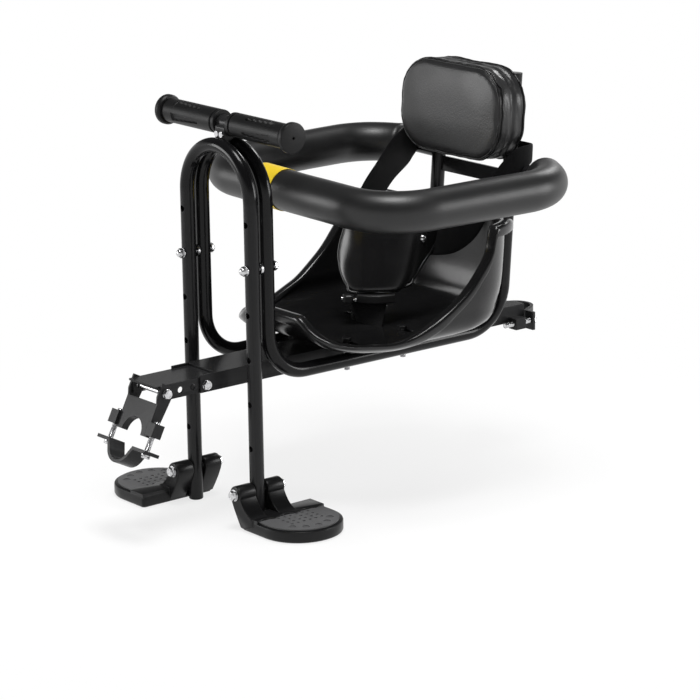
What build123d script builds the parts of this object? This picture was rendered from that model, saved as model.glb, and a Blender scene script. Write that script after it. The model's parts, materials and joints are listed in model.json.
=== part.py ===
"""Front-mounted child bicycle seat with a foam guard ring, grab bar, legs and folding footrests.

The origin is on the seat post's axis, at the middle of the carrying rail's height. X points to the
rider's left, Y to the rear of the bicycle and Z up. Sizes are millimetres.
"""
import os
from math import cos, radians, sin, tan

from build123d import *

# Fits shared by all pieces
MOVING_GAP = 0.3
BOLTED_GAP = 0.1
BOLT_CLEARANCE = 0.25

# Steel tube of the frame, the leg loop and the guard ring
TUBE_OD = 15.0
TUBE_WALL = 1.5

# Carrying rail: an outer channel with an inner channel that telescopes in it
RAIL_WIDTH = 50.0
RAIL_HEIGHT = 18.0
RAIL_WALL = 2.0
RAIL_TOP_LENGTH = 414.0
RAIL_EAR_LENGTH = 20.0
RAIL_POST_SETBACK = 10.0
RAIL_BOLT_FROM_EAR_END = 7.0
RAIL_BOLT_COUNT = 2
INNER_LENGTH = 220.0
INNER_NOSE = 11.0
INNER_EAR = 7.0
HOLE_PITCH = 15.0
BOLTS_APART_IN_PITCHES = 4
HOLES_AHEAD_OF_BOLT = 2
PIVOT_AHEAD_OF_HOLES = 19.3
PIVOT_DROP = 1.5

# Seat post clamp and top tube clamp: pressed jaws of one pattern
POST_RADIUS = 16.0
JAW_THICKNESS = 3.5
JAW_ARC_HALF_ANGLE = 60.0
REAR_TROUGH_DEPTH = 24.0
REAR_JAW_HALF_WIDTH = 37.0
REAR_JAW_DEPTH = 20.0
REAR_JAW_DROP = 9.0
FRONT_TROUGH_DEPTH = 18.0
FRONT_JAW_HALF_WIDTH = 40.0
FRONT_JAW_DEPTH = 20.0
NUT_BLOCK = 12.0
NUT_BLOCK_LENGTH = 14.0
REAR_BLOCK_FROM_END = 8.0
REAR_BOLT_LENGTH = 39.0

# Front clamp head: a folded bracket that tilts on the inner channel's nose
HEAD_TILT = 27.0
HEAD_SHEET = 2.5
HEAD_REACH = 6.0
HEAD_FACE_TOP = 12.5
HEAD_FACE_BOTTOM = 47.0
HEAD_NOTCH_CENTRE = 47.0
HEAD_LIP = 8.0
HEAD_EAR_RADIUS = 8.5
HEAD_EAR_RISE = 8.5
HEAD_EAR_WAIST = 5.5
HEAD_BOLT_FORWARD = 3.0
HEAD_BLOCK_TOP = 31.0
FRONT_JAW_CENTRE = 61.5
FRONT_BOLT_TOP = 29.0

# Frame: one bent tube with a front arch, floor runs and leaning rear uprights
POST_TO_UPRIGHT = 73.5
FRAME_DEPTH = 306.0
FRONT_SPACING = 106.0
REAR_SPACING = 114.0
ARCH_TOP = 232.5
FRONT_BEND_RADIUS = 45.0
REAR_BEND_RADIUS = 50.0
UPRIGHT_LEAN = 4.7
UPRIGHT_TOP = 269.0
CROSSBAR_HEIGHT = 160.0
CROSSBAR_WIDTH = 16.0
CROSSBAR_THICKNESS = 3.0
PLUG_LENGTH = 14.0
PLUG_CAP = 2.0

# Leg loop, bolted in front of the frame's arch through a row of height holes
TUBE_GAP = 3.0
LEG_DROP = 146.0
LEG_BOLT_HEIGHT = 115.0
LEG_HOLE_PITCH = 46.0
LEG_HOLES_ABOVE = 1
LEG_HOLES_BELOW = 4
BOLT_D = 6.0
BOLT_HEAD_AF = 10.0
BOLT_HEAD_HEIGHT = 4.0
NUT_HEIGHT = 5.0
WASHER_OD = 12.0
WASHER_THICKNESS = 1.2

# Guard ring: tube with a thick foam sleeve and one coloured band
GUARD_HEIGHT = 171.5
GUARD_ROLL = 0.8
GUARD_FRONT_HALF = 148.0
GUARD_REAR_HALF = 156.0
GUARD_DEPTH = 244.0
GUARD_FRONT_RADIUS = 58.0
GUARD_REAR_RADIUS = 63.0
FOAM_OD = 43.0
FOAM_BARE_END = 44.0
BAND_FROM_X = -50.0
BAND_TO_X = -12.0
BAND_THICKNESS = 0.5

# Grab bar on the arch
BAR_OD = 16.0
BAR_HALF = 103.0
BAR_ABOVE_ARCH = 20.5
BAR_FORWARD = 3.5
GRIP_OD = 25.0
GRIP_FLANGE_OD = 31.0
GRIP_FLANGE_LENGTH = 6.0
GRIP_INNER_X = 9.5
GRIP_END_WALL = 2.5
GRIP_COLLAR_LENGTH = 5.0
GRIP_GROOVE = 1.2
GRIP_SLOT_LENGTH = 44.0
GRIP_SLOT_DEPTH = 2.0
GRIP_SLOT_COUNT = 4
BRACKET_WIDTH = 15.0
BRACKET_DEPTH = 22.0
BRACKET_RIM = 3.0
SET_SCREW_D = 4.0
SET_SCREW_HEAD = 6.0
SET_SCREW_BELOW_BAR = 9.5
BRACKET_BELOW_BAR = 1.0

# Seat shell and what carries it
SHELL_WALL = 3.5
SHELL_FRONT = 327.0
SHELL_REAR = 82.0
SHELL_HALF_WIDTH = 118.0
SHELL_WING_TOP = 150.0
SHELL_LIP_HEIGHT = 54.0
SHELL_LIP_RUN = 55.0
SHELL_SIDE_LOW = 28.0
SHELL_WING_FRONT = 137.0
SHELL_WING_CORNER = 12.0
RIM_REACH = 9.0
RIM_WALL = 3.0
RIM_SKIRT = 12.0
LEG_NOTCH_X = 100.0
LEG_NOTCH_RADIUS = 72.0
LEG_NOTCH_LOW = 25.0
LEG_NOTCH_RUN = 65.0
LEG_NOTCH_RISE = 6.0
SEAT_SLOT_X = 45.0
SEAT_SLOT_LENGTH = 24.0
CROSS_PLATE_WIDTH = 24.0
CROSS_PLATE_THICKNESS = 3.0
CROSS_PLATE_OVERHANG = 4.0
CROSS_PLATE_FROM_FRONT = 59.0
CROSS_PLATES_APART = 75.0
SEAT_BOLT_X = 39.0
SEAT_BOLT_LENGTH = 30.0

# Backrest cushion
CUSHION_WIDTH = 160.0
CUSHION_HEIGHT = 99.0
CUSHION_DEPTH = 42.0
CUSHION_BOTTOM = 178.0
CUSHION_CORNER = 41.0
CUSHION_EDGE = 7.0
CUSHION_SCREW_D = 5.0
CUSHION_SCREW_RISES = (30.0, 68.0)
CUSHION_SCREW_DEPTH = 12.0

# Harness
STRAP_WIDTH = 38.0
STRAP_THICKNESS = 3.0
BUCKLE_Y = -206.0
BUCKLE_HEIGHT = 38.0
BUCKLE_SIZE = (56.0, 16.0, 12.0)
BUCKLE_TURN = 50.0
BIB_BOTTOM_WIDTH = 44.0
BIB_MID_WIDTH = 82.0
BIB_MID_HEIGHT = 36.0
BIB_TOP_WIDTH = 106.0
BIB_HEIGHT = 88.0
BIB_LEAN = 22.0
BIB_LEAN_TURN = 24.0
BIB_BOW_RADIUS = 70.0
BIB_THICKNESS = 3.0
STRAP_LOOP_X = 88.0
STRAP_OVER_X = 84.0
STRAP_OVER_FORWARD = 4.0
STRAP_LOOP_BEHIND = 3.0
STRAP_LOOP_INNER_X = 36.0
STRAP_LOOP_HEIGHT = 16.0
STRAP_LOOP_RISE = 22.0
STRAP_DROP = 18.0
STRAP_SAG = 20.0
STRAP_FOOT_X = 44.0
STRAP_FOOT_RISE = 72.0
STRAP_FOOT_BEHIND = 2.2
STRAP_FOOT_AHEAD = 8.0

# Footrests that fold up against the legs
FOOT_PIVOT_RISE = 33.0
FOOT_LENGTH = 88.0
FOOT_REARWARD = 17.5
FOOT_WIDTH = 82.0
FOOT_THICKNESS = 12.0
FOOT_CORNER = 43.5
FOOT_TOP_BELOW_PIVOT = 23.0
FOOT_LUG_RADIUS = 9.0
FOOT_LUG_LENGTH = 20.0
FOOT_ROOT_WIDTH = 22.0
FOOT_ROOT_RISE = 3.0
TREAD_THICKNESS = 1.5
TREAD_MARGIN = 4.0
TREAD_DOT_D = 3.2
TREAD_DOT_DEPTH = 0.8
TREAD_DOT_PITCH = 7.5
TREAD_DOT_COLUMNS = 4
TREAD_DOT_ROWS = 6
TREAD_CUP_D = 7.5
TREAD_CUP_COUNT = 5
TREAD_CUP_STEP = 26.0
TREAD_CUP_INSET = 9.0

# Places worked out from the sizes above
TUBE_R = TUBE_OD / 2
TUBE_BORE = TUBE_R - TUBE_WALL
RAIL_HALF = RAIL_WIDTH / 2
RAIL_TOP = RAIL_HEIGHT / 2
RUN_Z = RAIL_TOP - TUBE_R
RAIL_REAR_Y = -RAIL_POST_SETBACK
RAIL_FRONT_Y = RAIL_REAR_Y - RAIL_TOP_LENGTH
EAR_END_Y = RAIL_FRONT_Y - RAIL_EAR_LENGTH
RAIL_BOLT_Y = EAR_END_Y + RAIL_BOLT_FROM_EAR_END
INNER_HALF = RAIL_HALF - RAIL_WALL - MOVING_GAP
INNER_TOP = RAIL_TOP - RAIL_WALL - MOVING_GAP
FIRST_HOLE_Y = RAIL_BOLT_Y - HOLES_AHEAD_OF_BOLT * HOLE_PITCH
PIVOT_Y = FIRST_HOLE_Y - PIVOT_AHEAD_OF_HOLES
PIVOT_Z = -PIVOT_DROP
INNER_FRONT_Y = PIVOT_Y - INNER_NOSE
EAR_INNER = INNER_HALF + MOVING_GAP
EAR_OUTER = EAR_INNER + HEAD_SHEET
REAR_BOLT_X = RAIL_HALF + BOLTED_GAP + NUT_BLOCK / 2
FRONT_BOLT_X = EAR_OUTER + BOLTED_GAP + NUT_BLOCK / 2
FRONT_HALF = FRONT_SPACING / 2
REAR_HALF = REAR_SPACING / 2
FRONT_Y = -(POST_TO_UPRIGHT + FRAME_DEPTH)
LEG_Y = FRONT_Y - TUBE_OD - TUBE_GAP
ARCH_RADIUS = FRONT_HALF - 0.5
BOLT_HOLE_R = BOLT_D / 2 + BOLT_CLEARANCE
LEG_BOTTOM = -LEG_DROP
FOOT_PIVOT_Z = LEG_BOTTOM + FOOT_PIVOT_RISE
PLATE_TOP = RAIL_TOP + CROSS_PLATE_THICKNESS
SHELL_BOTTOM = PLATE_TOP
BAR_Z = ARCH_TOP + BAR_ABOVE_ARCH
BAR_Y = FRONT_Y - BAR_FORWARD
SET_SCREW_Z = BAR_Z - SET_SCREW_BELOW_BAR
CROSS_PLATE_YS = (-SHELL_FRONT + CROSS_PLATE_FROM_FRONT,
                  -SHELL_FRONT + CROSS_PLATE_FROM_FRONT + CROSS_PLATES_APART)
LEAN_SLOPE = tan(radians(UPRIGHT_LEAN))


def upright_y(height):
    """Y of the rear uprights' centre line at a height."""
    return -POST_TO_UPRIGHT + LEAN_SLOPE * height


GUARD_REAR_Y = upright_y(GUARD_HEIGHT)
GUARD_FRONT_Y = GUARD_REAR_Y - GUARD_DEPTH


def bent_tube(points, radii, outer, inner):
    """A round tube along straight runs joined by bends; an inner radius of 0 makes it solid."""
    path = FilletPolyline(*points, radius=radii)
    start = Plane(origin=path @ 0, z_dir=path % 0)
    solid = sweep(start * Circle(outer), path=path)
    if inner:
        solid -= sweep(start * Circle(inner), path=path)
    return solid


def rod(radius, start, end):
    """A solid round rod between two points."""
    a, b = Vector(*start), Vector(*end)
    plane = Plane(origin=a, z_dir=b - a)
    return extrude(plane * Circle(radius), (b - a).length)


def sleeve(outer, inner, start, end):
    """A round sleeve between two points."""
    return rod(outer, start, end) - rod(inner, start, end)


def hex_rod(across_flats, start, end):
    """A hexagonal rod between two points."""
    a, b = Vector(*start), Vector(*end)
    plane = Plane(origin=a, z_dir=b - a)
    return extrude(plane * RegularPolygon(across_flats / 2, 6, major_radius=False), (b - a).length)


def toward(start, end, distance):
    """The point at a distance from start on the line to end."""
    a, b = Vector(*start), Vector(*end)
    return tuple(a + (b - a).normalized() * distance)


def hex_bolt(head_face, tip, diameter=BOLT_D):
    """A hex bolt whose head's seat is at head_face and whose shank ends at tip."""
    head_top = toward(head_face, tip, -BOLT_HEAD_HEIGHT)
    shank = rod(diameter / 2, head_face, tip)
    head = hex_rod(BOLT_HEAD_AF, head_top, head_face)
    return shank + head


def turned(solid):
    """The same solid turned half round the vertical line between the legs."""
    return Pos(0, 2 * LEG_Y, 0) * Rot(0, 0, 180) * solid


def nut(seat, away, domed=False):
    """A hex nut on a seat, pointing away from it, closed by a dome where asked."""
    end = toward(seat, away, NUT_HEIGHT)
    body = hex_rod(BOLT_HEAD_AF, seat, end)
    if domed:
        body += rod(BOLT_HEAD_AF * 0.42, end, toward(seat, away, NUT_HEIGHT * 1.5))
        return body - rod(BOLT_D / 2 + BOLTED_GAP / 2, seat, toward(seat, away, NUT_HEIGHT))
    return body - rod(BOLT_D / 2 + BOLTED_GAP / 2, seat, end)


def mirrored(solid):
    """The same solid on the other side of the middle plane."""
    return mirror(solid, about=Plane.YZ)


def pair(solid):
    """A solid and its mirror image, kept as two separate solids."""
    return Compound(children=[*solid.solids(), *mirrored(solid).solids()])


def group(*solids):
    """Several separate solids in one node."""
    return Compound(children=[piece for solid in solids for piece in solid.solids()])


def frame_tube():
    """The bent main tube with bolt holes through its front uprights."""
    top_y = upright_y(UPRIGHT_TOP)
    near = [
        (REAR_HALF, top_y, UPRIGHT_TOP),
        (REAR_HALF, upright_y(RUN_Z), RUN_Z),
        (FRONT_HALF, FRONT_Y, RUN_Z),
        (FRONT_HALF, FRONT_Y, ARCH_TOP),
    ]
    far = [(-x, y, z) for x, y, z in reversed(near)]
    bends = [REAR_BEND_RADIUS, FRONT_BEND_RADIUS, ARCH_RADIUS]
    tube = bent_tube(near + far, bends + bends[::-1], TUBE_R, TUBE_BORE)
    for side in (1, -1):
        x = side * FRONT_HALF
        tube -= rod(BOLT_HOLE_R, (x, FRONT_Y - TUBE_OD, LEG_BOLT_HEIGHT), (x, FRONT_Y + TUBE_OD, LEG_BOLT_HEIGHT))
        for rise in CUSHION_SCREW_RISES:
            start, end = cushion_screw_line(side, rise)
            tube -= rod(CUSHION_SCREW_D / 2 + BOLT_CLEARANCE, start, end)
    return tube


def upright_plugs():
    """Plastic plugs in the rear uprights' open tops."""
    axis = Vector(0, LEAN_SLOPE, 1).normalized()
    top = Vector(REAR_HALF, upright_y(UPRIGHT_TOP), UPRIGHT_TOP)
    stem = rod(TUBE_BORE - BOLTED_GAP, tuple(top - axis * PLUG_LENGTH), tuple(top))
    cap = rod(TUBE_R, tuple(top), tuple(top + axis * PLUG_CAP))
    return pair(stem + cap)


def upright_envelope(clearance):
    """A solid rod that covers each rear upright, for coping what is welded to it."""
    low, high = RAIL_TOP + REAR_BEND_RADIUS, UPRIGHT_TOP
    near = rod(TUBE_R + clearance, (REAR_HALF, upright_y(low), low), (REAR_HALF, upright_y(high), high))
    return near + mirrored(near)


def rear_crossbar():
    """Flat steel bar welded between the rear uprights under the backrest."""
    bar = Box(REAR_SPACING, CROSSBAR_THICKNESS, CROSSBAR_WIDTH)
    bar = Pos(0, upright_y(CROSSBAR_HEIGHT), CROSSBAR_HEIGHT) * Rot(-UPRIGHT_LEAN, 0, 0) * bar
    bar -= upright_envelope(BOLTED_GAP)
    return max(bar.solids(), key=lambda piece: piece.volume)


def guard_points(end_x):
    """Corners of the guard ring's centre line from the near end to the far end."""
    near = [
        (end_x, GUARD_REAR_Y, GUARD_HEIGHT),
        (GUARD_REAR_HALF, GUARD_REAR_Y, GUARD_HEIGHT),
        (GUARD_FRONT_HALF, GUARD_FRONT_Y, GUARD_HEIGHT),
    ]
    return near + [(-x, y, z) for x, y, z in reversed(near)]


def guard_place(solid):
    """Tips a level solid of the guard ring sideways by the ring's roll."""
    return Pos(0, 0, GUARD_HEIGHT) * Rot(0, GUARD_ROLL, 0) * Pos(0, 0, -GUARD_HEIGHT) * solid


GUARD_RADII = [GUARD_REAR_RADIUS, GUARD_FRONT_RADIUS, GUARD_FRONT_RADIUS, GUARD_REAR_RADIUS]


def guard_tube():
    """Steel tube of the guard ring, coped to the rear uprights."""
    tube = guard_place(bent_tube(guard_points(REAR_HALF), GUARD_RADII, TUBE_R, TUBE_BORE))
    tube -= upright_envelope(BOLTED_GAP)
    return max(tube.solids(), key=lambda piece: piece.volume)


def guard_foam():
    """Foam sleeve on the guard ring."""
    end_x = REAR_HALF + TUBE_R + FOAM_BARE_END
    foam = bent_tube(guard_points(REAR_HALF), GUARD_RADII, FOAM_OD / 2, TUBE_R + BOLTED_GAP / 2)
    foam -= Pos(0, GUARD_REAR_Y, GUARD_HEIGHT) * Box(2 * end_x, 2 * FOAM_OD, 2 * FOAM_OD)
    return guard_place(foam)


def guard_band():
    """Coloured band wrapped round the foam at the front."""
    inner = FOAM_OD / 2 + BOLTED_GAP / 2
    start = (BAND_FROM_X, GUARD_FRONT_Y, GUARD_HEIGHT)
    end = (BAND_TO_X, GUARD_FRONT_Y, GUARD_HEIGHT)
    return guard_place(sleeve(inner + BAND_THICKNESS, inner, start, end))


def leg_loop():
    """Front loop of tube with a row of height holes in each leg."""
    points = [
        (FRONT_HALF, LEG_Y, LEG_BOTTOM),
        (FRONT_HALF, LEG_Y, ARCH_TOP),
        (-FRONT_HALF, LEG_Y, ARCH_TOP),
        (-FRONT_HALF, LEG_Y, LEG_BOTTOM),
    ]
    loop = bent_tube(points, [ARCH_RADIUS, ARCH_RADIUS], TUBE_R, TUBE_BORE)
    for side in (1, -1):
        x = side * FRONT_HALF
        for step in range(-LEG_HOLES_BELOW, LEG_HOLES_ABOVE + 1):
            z = LEG_BOLT_HEIGHT + step * LEG_HOLE_PITCH
            loop -= rod(BOLT_HOLE_R, (x, LEG_Y - TUBE_OD, z), (x, LEG_Y + TUBE_OD, z))
        loop -= rod(BOLT_HOLE_R, (x, LEG_Y - TUBE_OD, FOOT_PIVOT_Z), (x, LEG_Y + TUBE_OD, FOOT_PIVOT_Z))
    return loop


def leg_plugs():
    """Rounded plugs in the legs' open lower ends."""
    stem = rod(TUBE_BORE - BOLTED_GAP, (FRONT_HALF, LEG_Y, LEG_BOTTOM),
               (FRONT_HALF, LEG_Y, LEG_BOTTOM + PLUG_LENGTH))
    cap = rod(TUBE_R, (FRONT_HALF, LEG_Y, LEG_BOTTOM - PLUG_CAP), (FRONT_HALF, LEG_Y, LEG_BOTTOM))
    cap = fillet(cap.edges().sort_by(Axis.Z)[0], PLUG_CAP * 0.8)
    return pair(stem + cap)


LEG_NUT_SEAT = LEG_Y - TUBE_R - BOLTED_GAP
FRAME_HEAD_SEAT = FRONT_Y + TUBE_R + BOLTED_GAP


def leg_bolts():
    """Bolts from behind the frame's front uprights through the legs."""
    head = (FRONT_HALF, FRAME_HEAD_SEAT, LEG_BOLT_HEIGHT)
    tip = (FRONT_HALF, LEG_NUT_SEAT - NUT_HEIGHT + BOLTED_GAP, LEG_BOLT_HEIGHT)
    return pair(hex_bolt(head, tip))


def leg_nuts():
    """Domed nuts in front of the legs."""
    seat = (FRONT_HALF, LEG_NUT_SEAT, LEG_BOLT_HEIGHT)
    return pair(nut(seat, (FRONT_HALF, LEG_NUT_SEAT - TUBE_OD, LEG_BOLT_HEIGHT), domed=True))


def leg_spacers():
    """Spacer rings between each leg and the frame's upright."""
    start = (FRONT_HALF, LEG_Y + TUBE_R + BOLTED_GAP, LEG_BOLT_HEIGHT)
    end = (FRONT_HALF, FRONT_Y - TUBE_R - BOLTED_GAP, LEG_BOLT_HEIGHT)
    return pair(sleeve(WASHER_OD / 2, BOLT_HOLE_R, start, end))


def grab_bar():
    """Straight tube of the grab bar."""
    return sleeve(BAR_OD / 2, BAR_OD / 2 - TUBE_WALL, (-BAR_HALF, BAR_Y, BAR_Z), (BAR_HALF, BAR_Y, BAR_Z))


def grip():
    """Rubber grip on the near end: collar, tapered slots and an end flange."""
    outer_x = BAR_HALF + BOLTED_GAP + GRIP_END_WALL
    flange_x = outer_x - GRIP_FLANGE_LENGTH
    collar_x = GRIP_INNER_X + GRIP_COLLAR_LENGTH
    body_r, flange_r = GRIP_OD / 2, GRIP_FLANGE_OD / 2
    groove_r = body_r - GRIP_GROOVE
    profile = [
        (GRIP_INNER_X, 0),
        (GRIP_INNER_X, body_r),
        (collar_x, body_r),
        (collar_x, groove_r),
        (collar_x + GRIP_GROOVE, groove_r),
        (collar_x + GRIP_GROOVE, body_r),
        (flange_x - 2 * GRIP_GROOVE, body_r),
        (flange_x - 2 * GRIP_GROOVE, groove_r),
        (flange_x - GRIP_GROOVE, groove_r),
        (flange_x, flange_r - GRIP_GROOVE),
        (flange_x + GRIP_GROOVE, flange_r),
        (outer_x - GRIP_GROOVE, flange_r),
        (outer_x, flange_r - GRIP_GROOVE),
        (outer_x, 0),
    ]
    section = make_face(Polyline(*profile, close=True))
    body = revolve(section, Axis.X)
    slot_mid = (collar_x + flange_x) / 2
    slot = make_face(Polyline(
        (slot_mid - GRIP_SLOT_LENGTH / 2, -GRIP_GROOVE / 2),
        (slot_mid + GRIP_SLOT_LENGTH / 2, -GRIP_OD / 8),
        (slot_mid + GRIP_SLOT_LENGTH / 2, GRIP_OD / 8),
        (slot_mid - GRIP_SLOT_LENGTH / 2, GRIP_GROOVE / 2),
        close=True,
    ))
    wedge = Pos(0, 0, body_r - GRIP_SLOT_DEPTH) * extrude(slot, GRIP_OD)
    for k in range(GRIP_SLOT_COUNT):
        body -= Rot(360 * k / GRIP_SLOT_COUNT, 0, 0) * wedge
    bore_end = BAR_HALF + BOLTED_GAP
    body -= rod(BAR_OD / 2 + BOLTED_GAP / 2, (GRIP_INNER_X - 1, 0, 0), (bore_end, 0, 0))
    body -= rod(GRIP_GROOVE, (BAR_HALF, 0, 0), (outer_x + 1, 0, 0))
    return Pos(0, BAR_Y, BAR_Z) * body


def bar_bracket():
    """Saddle block that ties the grab bar to the top of the frame's arch."""
    low = ARCH_TOP
    high = BAR_Z - BRACKET_BELOW_BAR
    block = Pos(0, BAR_Y, (low + high) / 2) * Box(BRACKET_WIDTH, BRACKET_DEPTH, high - low)
    block = fillet(block.edges().filter_by(Axis.X), BRACKET_RIM)
    block -= rod(BAR_OD / 2 + BOLTED_GAP / 2, (-BRACKET_WIDTH, BAR_Y, BAR_Z), (BRACKET_WIDTH, BAR_Y, BAR_Z))
    for y in (FRONT_Y, LEG_Y):
        arch = bent_tube(
            [(FRONT_HALF, y, RUN_Z), (FRONT_HALF, y, ARCH_TOP), (-FRONT_HALF, y, ARCH_TOP), (-FRONT_HALF, y, RUN_Z)],
            [ARCH_RADIUS, ARCH_RADIUS], TUBE_R + BOLTED_GAP, 0)
        block -= arch
    for x in (-BRACKET_WIDTH / 4, BRACKET_WIDTH / 4):
        block -= rod(SET_SCREW_D / 2 + BOLTED_GAP, *set_screw_line(x))
    return max(block.solids(), key=lambda piece: piece.volume)


def set_screw_line(x):
    """Start on the bracket's front face and end under the bar, for one set screw."""
    face_y = BAR_Y - BRACKET_DEPTH / 2
    return (x, face_y, SET_SCREW_Z), (x, BAR_Y - BAR_OD / 2 - BOLTED_GAP, SET_SCREW_Z)


def set_screws():
    """Two screws that hold the grab bar in its bracket."""
    screws = []
    for x in (-BRACKET_WIDTH / 4, BRACKET_WIDTH / 4):
        start, end = set_screw_line(x)
        head = rod(SET_SCREW_HEAD / 2, toward(start, end, -SET_SCREW_D / 2), start)
        screws.append(rod(SET_SCREW_D / 2, start, end) + head)
    return group(*screws)


def channel(width, height, wall, front, rear, top):
    """An inverted U channel along Y with its top at a height."""
    outer = Pos(0, (front + rear) / 2, top - height / 2) * Box(width, rear - front, height)
    inner = Pos(0, (front + rear) / 2, top - wall - height / 2) * Box(width - 2 * wall, rear - front, height)
    return outer - inner


def cross_holes(ys, half):
    """Holes through both side walls of a channel."""
    holes = [rod(BOLT_HOLE_R, (-half - 1, y, PIVOT_Z), (half + 1, y, PIVOT_Z)) for y in ys]
    return Compound(children=holes)


def rail_bolt_ys():
    """Y of each bolt that locks the telescoping rail."""
    return [RAIL_BOLT_Y + k * BOLTS_APART_IN_PITCHES * HOLE_PITCH for k in range(RAIL_BOLT_COUNT)]


def outer_rail():
    """Outer channel: notched for the seat post behind, with side ears in front."""
    rail = channel(RAIL_WIDTH, RAIL_HEIGHT, RAIL_WALL, EAR_END_Y, RAIL_REAR_Y, RAIL_TOP)
    mid_y = (EAR_END_Y + RAIL_FRONT_Y) / 2
    rail -= Pos(0, mid_y, 0) * Box(RAIL_WIDTH - 2 * RAIL_WALL, RAIL_EAR_LENGTH, 2 * RAIL_HEIGHT)
    rail -= extrude(Plane.XY.offset(-RAIL_HEIGHT) * Circle(POST_RADIUS), 2 * RAIL_HEIGHT)
    rail -= cross_holes(rail_bolt_ys(), RAIL_HALF)
    return rail


def inner_rail():
    """Inner channel with rounded ears at its nose and a row of locking holes."""
    rear = INNER_FRONT_Y + INNER_LENGTH
    rail = channel(2 * INNER_HALF, INNER_TOP + RAIL_TOP, RAIL_WALL, INNER_FRONT_Y, rear, INNER_TOP)
    nose_y = PIVOT_Y - INNER_EAR
    below = INNER_TOP - RAIL_WALL
    cut_height = 2 * RAIL_HEIGHT
    rail -= Pos(0, (INNER_FRONT_Y + nose_y) / 2, below - cut_height / 2) * Box(
        2 * RAIL_WIDTH, nose_y - INNER_FRONT_Y, cut_height)
    count = int((rear - FIRST_HOLE_Y) / HOLE_PITCH)
    rail -= cross_holes([PIVOT_Y] + [FIRST_HOLE_Y + k * HOLE_PITCH for k in range(count)], RAIL_HALF)
    return rail


def cross_bolt(y, half):
    """A hex bolt along X through a channel, head on the near side."""
    seat = half + BOLTED_GAP
    return hex_bolt((seat, y, PIVOT_Z), (-seat - NUT_HEIGHT, y, PIVOT_Z))


def cross_nut(y, half):
    """The nut of a cross bolt, on the far side."""
    seat = -half - BOLTED_GAP
    return nut((seat, y, PIVOT_Z), (seat - TUBE_OD, y, PIVOT_Z))


def rail_bolts():
    """Bolts that lock the two channels together."""
    return group(*[cross_bolt(y, RAIL_HALF) for y in rail_bolt_ys()])


def rail_nuts():
    """Nuts of the locking bolts."""
    return group(*[cross_nut(y, RAIL_HALF) for y in rail_bolt_ys()])


def jaw(half_width, trough, depth, bolt_x):
    """Pressed jaw: a rounded trough between two flat wings, drawn in XY with the tube at the origin."""
    half = radians(JAW_ARC_HALF_ANGLE)
    wing_y = POST_RADIUS - trough
    arc_x, arc_y = POST_RADIUS * sin(half), POST_RADIUS * cos(half)
    flank_x = arc_x + (arc_y - wing_y) / tan(half)
    outer_r = POST_RADIUS + JAW_THICKNESS
    outer_wing = wing_y + JAW_THICKNESS
    outer_x, outer_y = outer_r * sin(half), outer_r * cos(half)
    outer_flank = outer_x + (outer_y - outer_wing) / tan(half)
    edges = [
        Line((-half_width, wing_y), (-flank_x, wing_y)),
        Line((-flank_x, wing_y), (-arc_x, arc_y)),
        ThreePointArc((-arc_x, arc_y), (0, POST_RADIUS), (arc_x, arc_y)),
        Line((arc_x, arc_y), (flank_x, wing_y)),
        Line((flank_x, wing_y), (half_width, wing_y)),
        Line((half_width, wing_y), (half_width, outer_wing)),
        Line((half_width, outer_wing), (outer_flank, outer_wing)),
        Line((outer_flank, outer_wing), (outer_x, outer_y)),
        ThreePointArc((outer_x, outer_y), (0, outer_r), (-outer_x, outer_y)),
        Line((-outer_x, outer_y), (-outer_flank, outer_wing)),
        Line((-outer_flank, outer_wing), (-half_width, outer_wing)),
        Line((-half_width, outer_wing), (-half_width, wing_y)),
    ]
    plate = extrude(make_face(edges), depth / 2, both=True)
    for side in (1, -1):
        plate -= rod(BOLT_HOLE_R, (side * bolt_x, wing_y - 1, 0), (side * bolt_x, outer_wing + 1, 0))
    return plate


def jaw_back(trough):
    """Distance from the clamped tube's axis to the seat of a bolt head on the jaw's wings."""
    return POST_RADIUS - trough + JAW_THICKNESS + BOLTED_GAP


def nut_block(start, end):
    """A welded square nut on a line, bored for a jaw bolt."""
    a, b = Vector(*start), Vector(*end)
    plane = Plane(origin=a, x_dir=(1, 0, 0), z_dir=b - a)
    block = extrude(plane * Rectangle(NUT_BLOCK, NUT_BLOCK), (b - a).length)
    return block - rod(BOLT_HOLE_R, toward(start, end, -1), toward(end, start, -1))


def rear_nut_blocks():
    """Square nuts welded on the rail's sides beside the seat post."""
    front = RAIL_REAR_Y - REAR_BLOCK_FROM_END - NUT_BLOCK_LENGTH
    rear = front + NUT_BLOCK_LENGTH
    return pair(nut_block((REAR_BOLT_X, front, -REAR_JAW_DROP), (REAR_BOLT_X, rear, -REAR_JAW_DROP)))


def rear_jaw_bolts():
    """Bolts that draw the rear jaw on to the seat post."""
    seat = jaw_back(REAR_TROUGH_DEPTH)
    head = (REAR_BOLT_X, seat, -REAR_JAW_DROP)
    return pair(hex_bolt(head, (REAR_BOLT_X, seat - REAR_BOLT_LENGTH, -REAR_JAW_DROP)))


def head_place(solid):
    """Moves a solid drawn at the pivot, X across, Y to the rear and Z up, to the tilted head's place."""
    return Pos(0, PIVOT_Y, PIVOT_Z) * Rot(-HEAD_TILT, 0, 0) * solid


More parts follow.
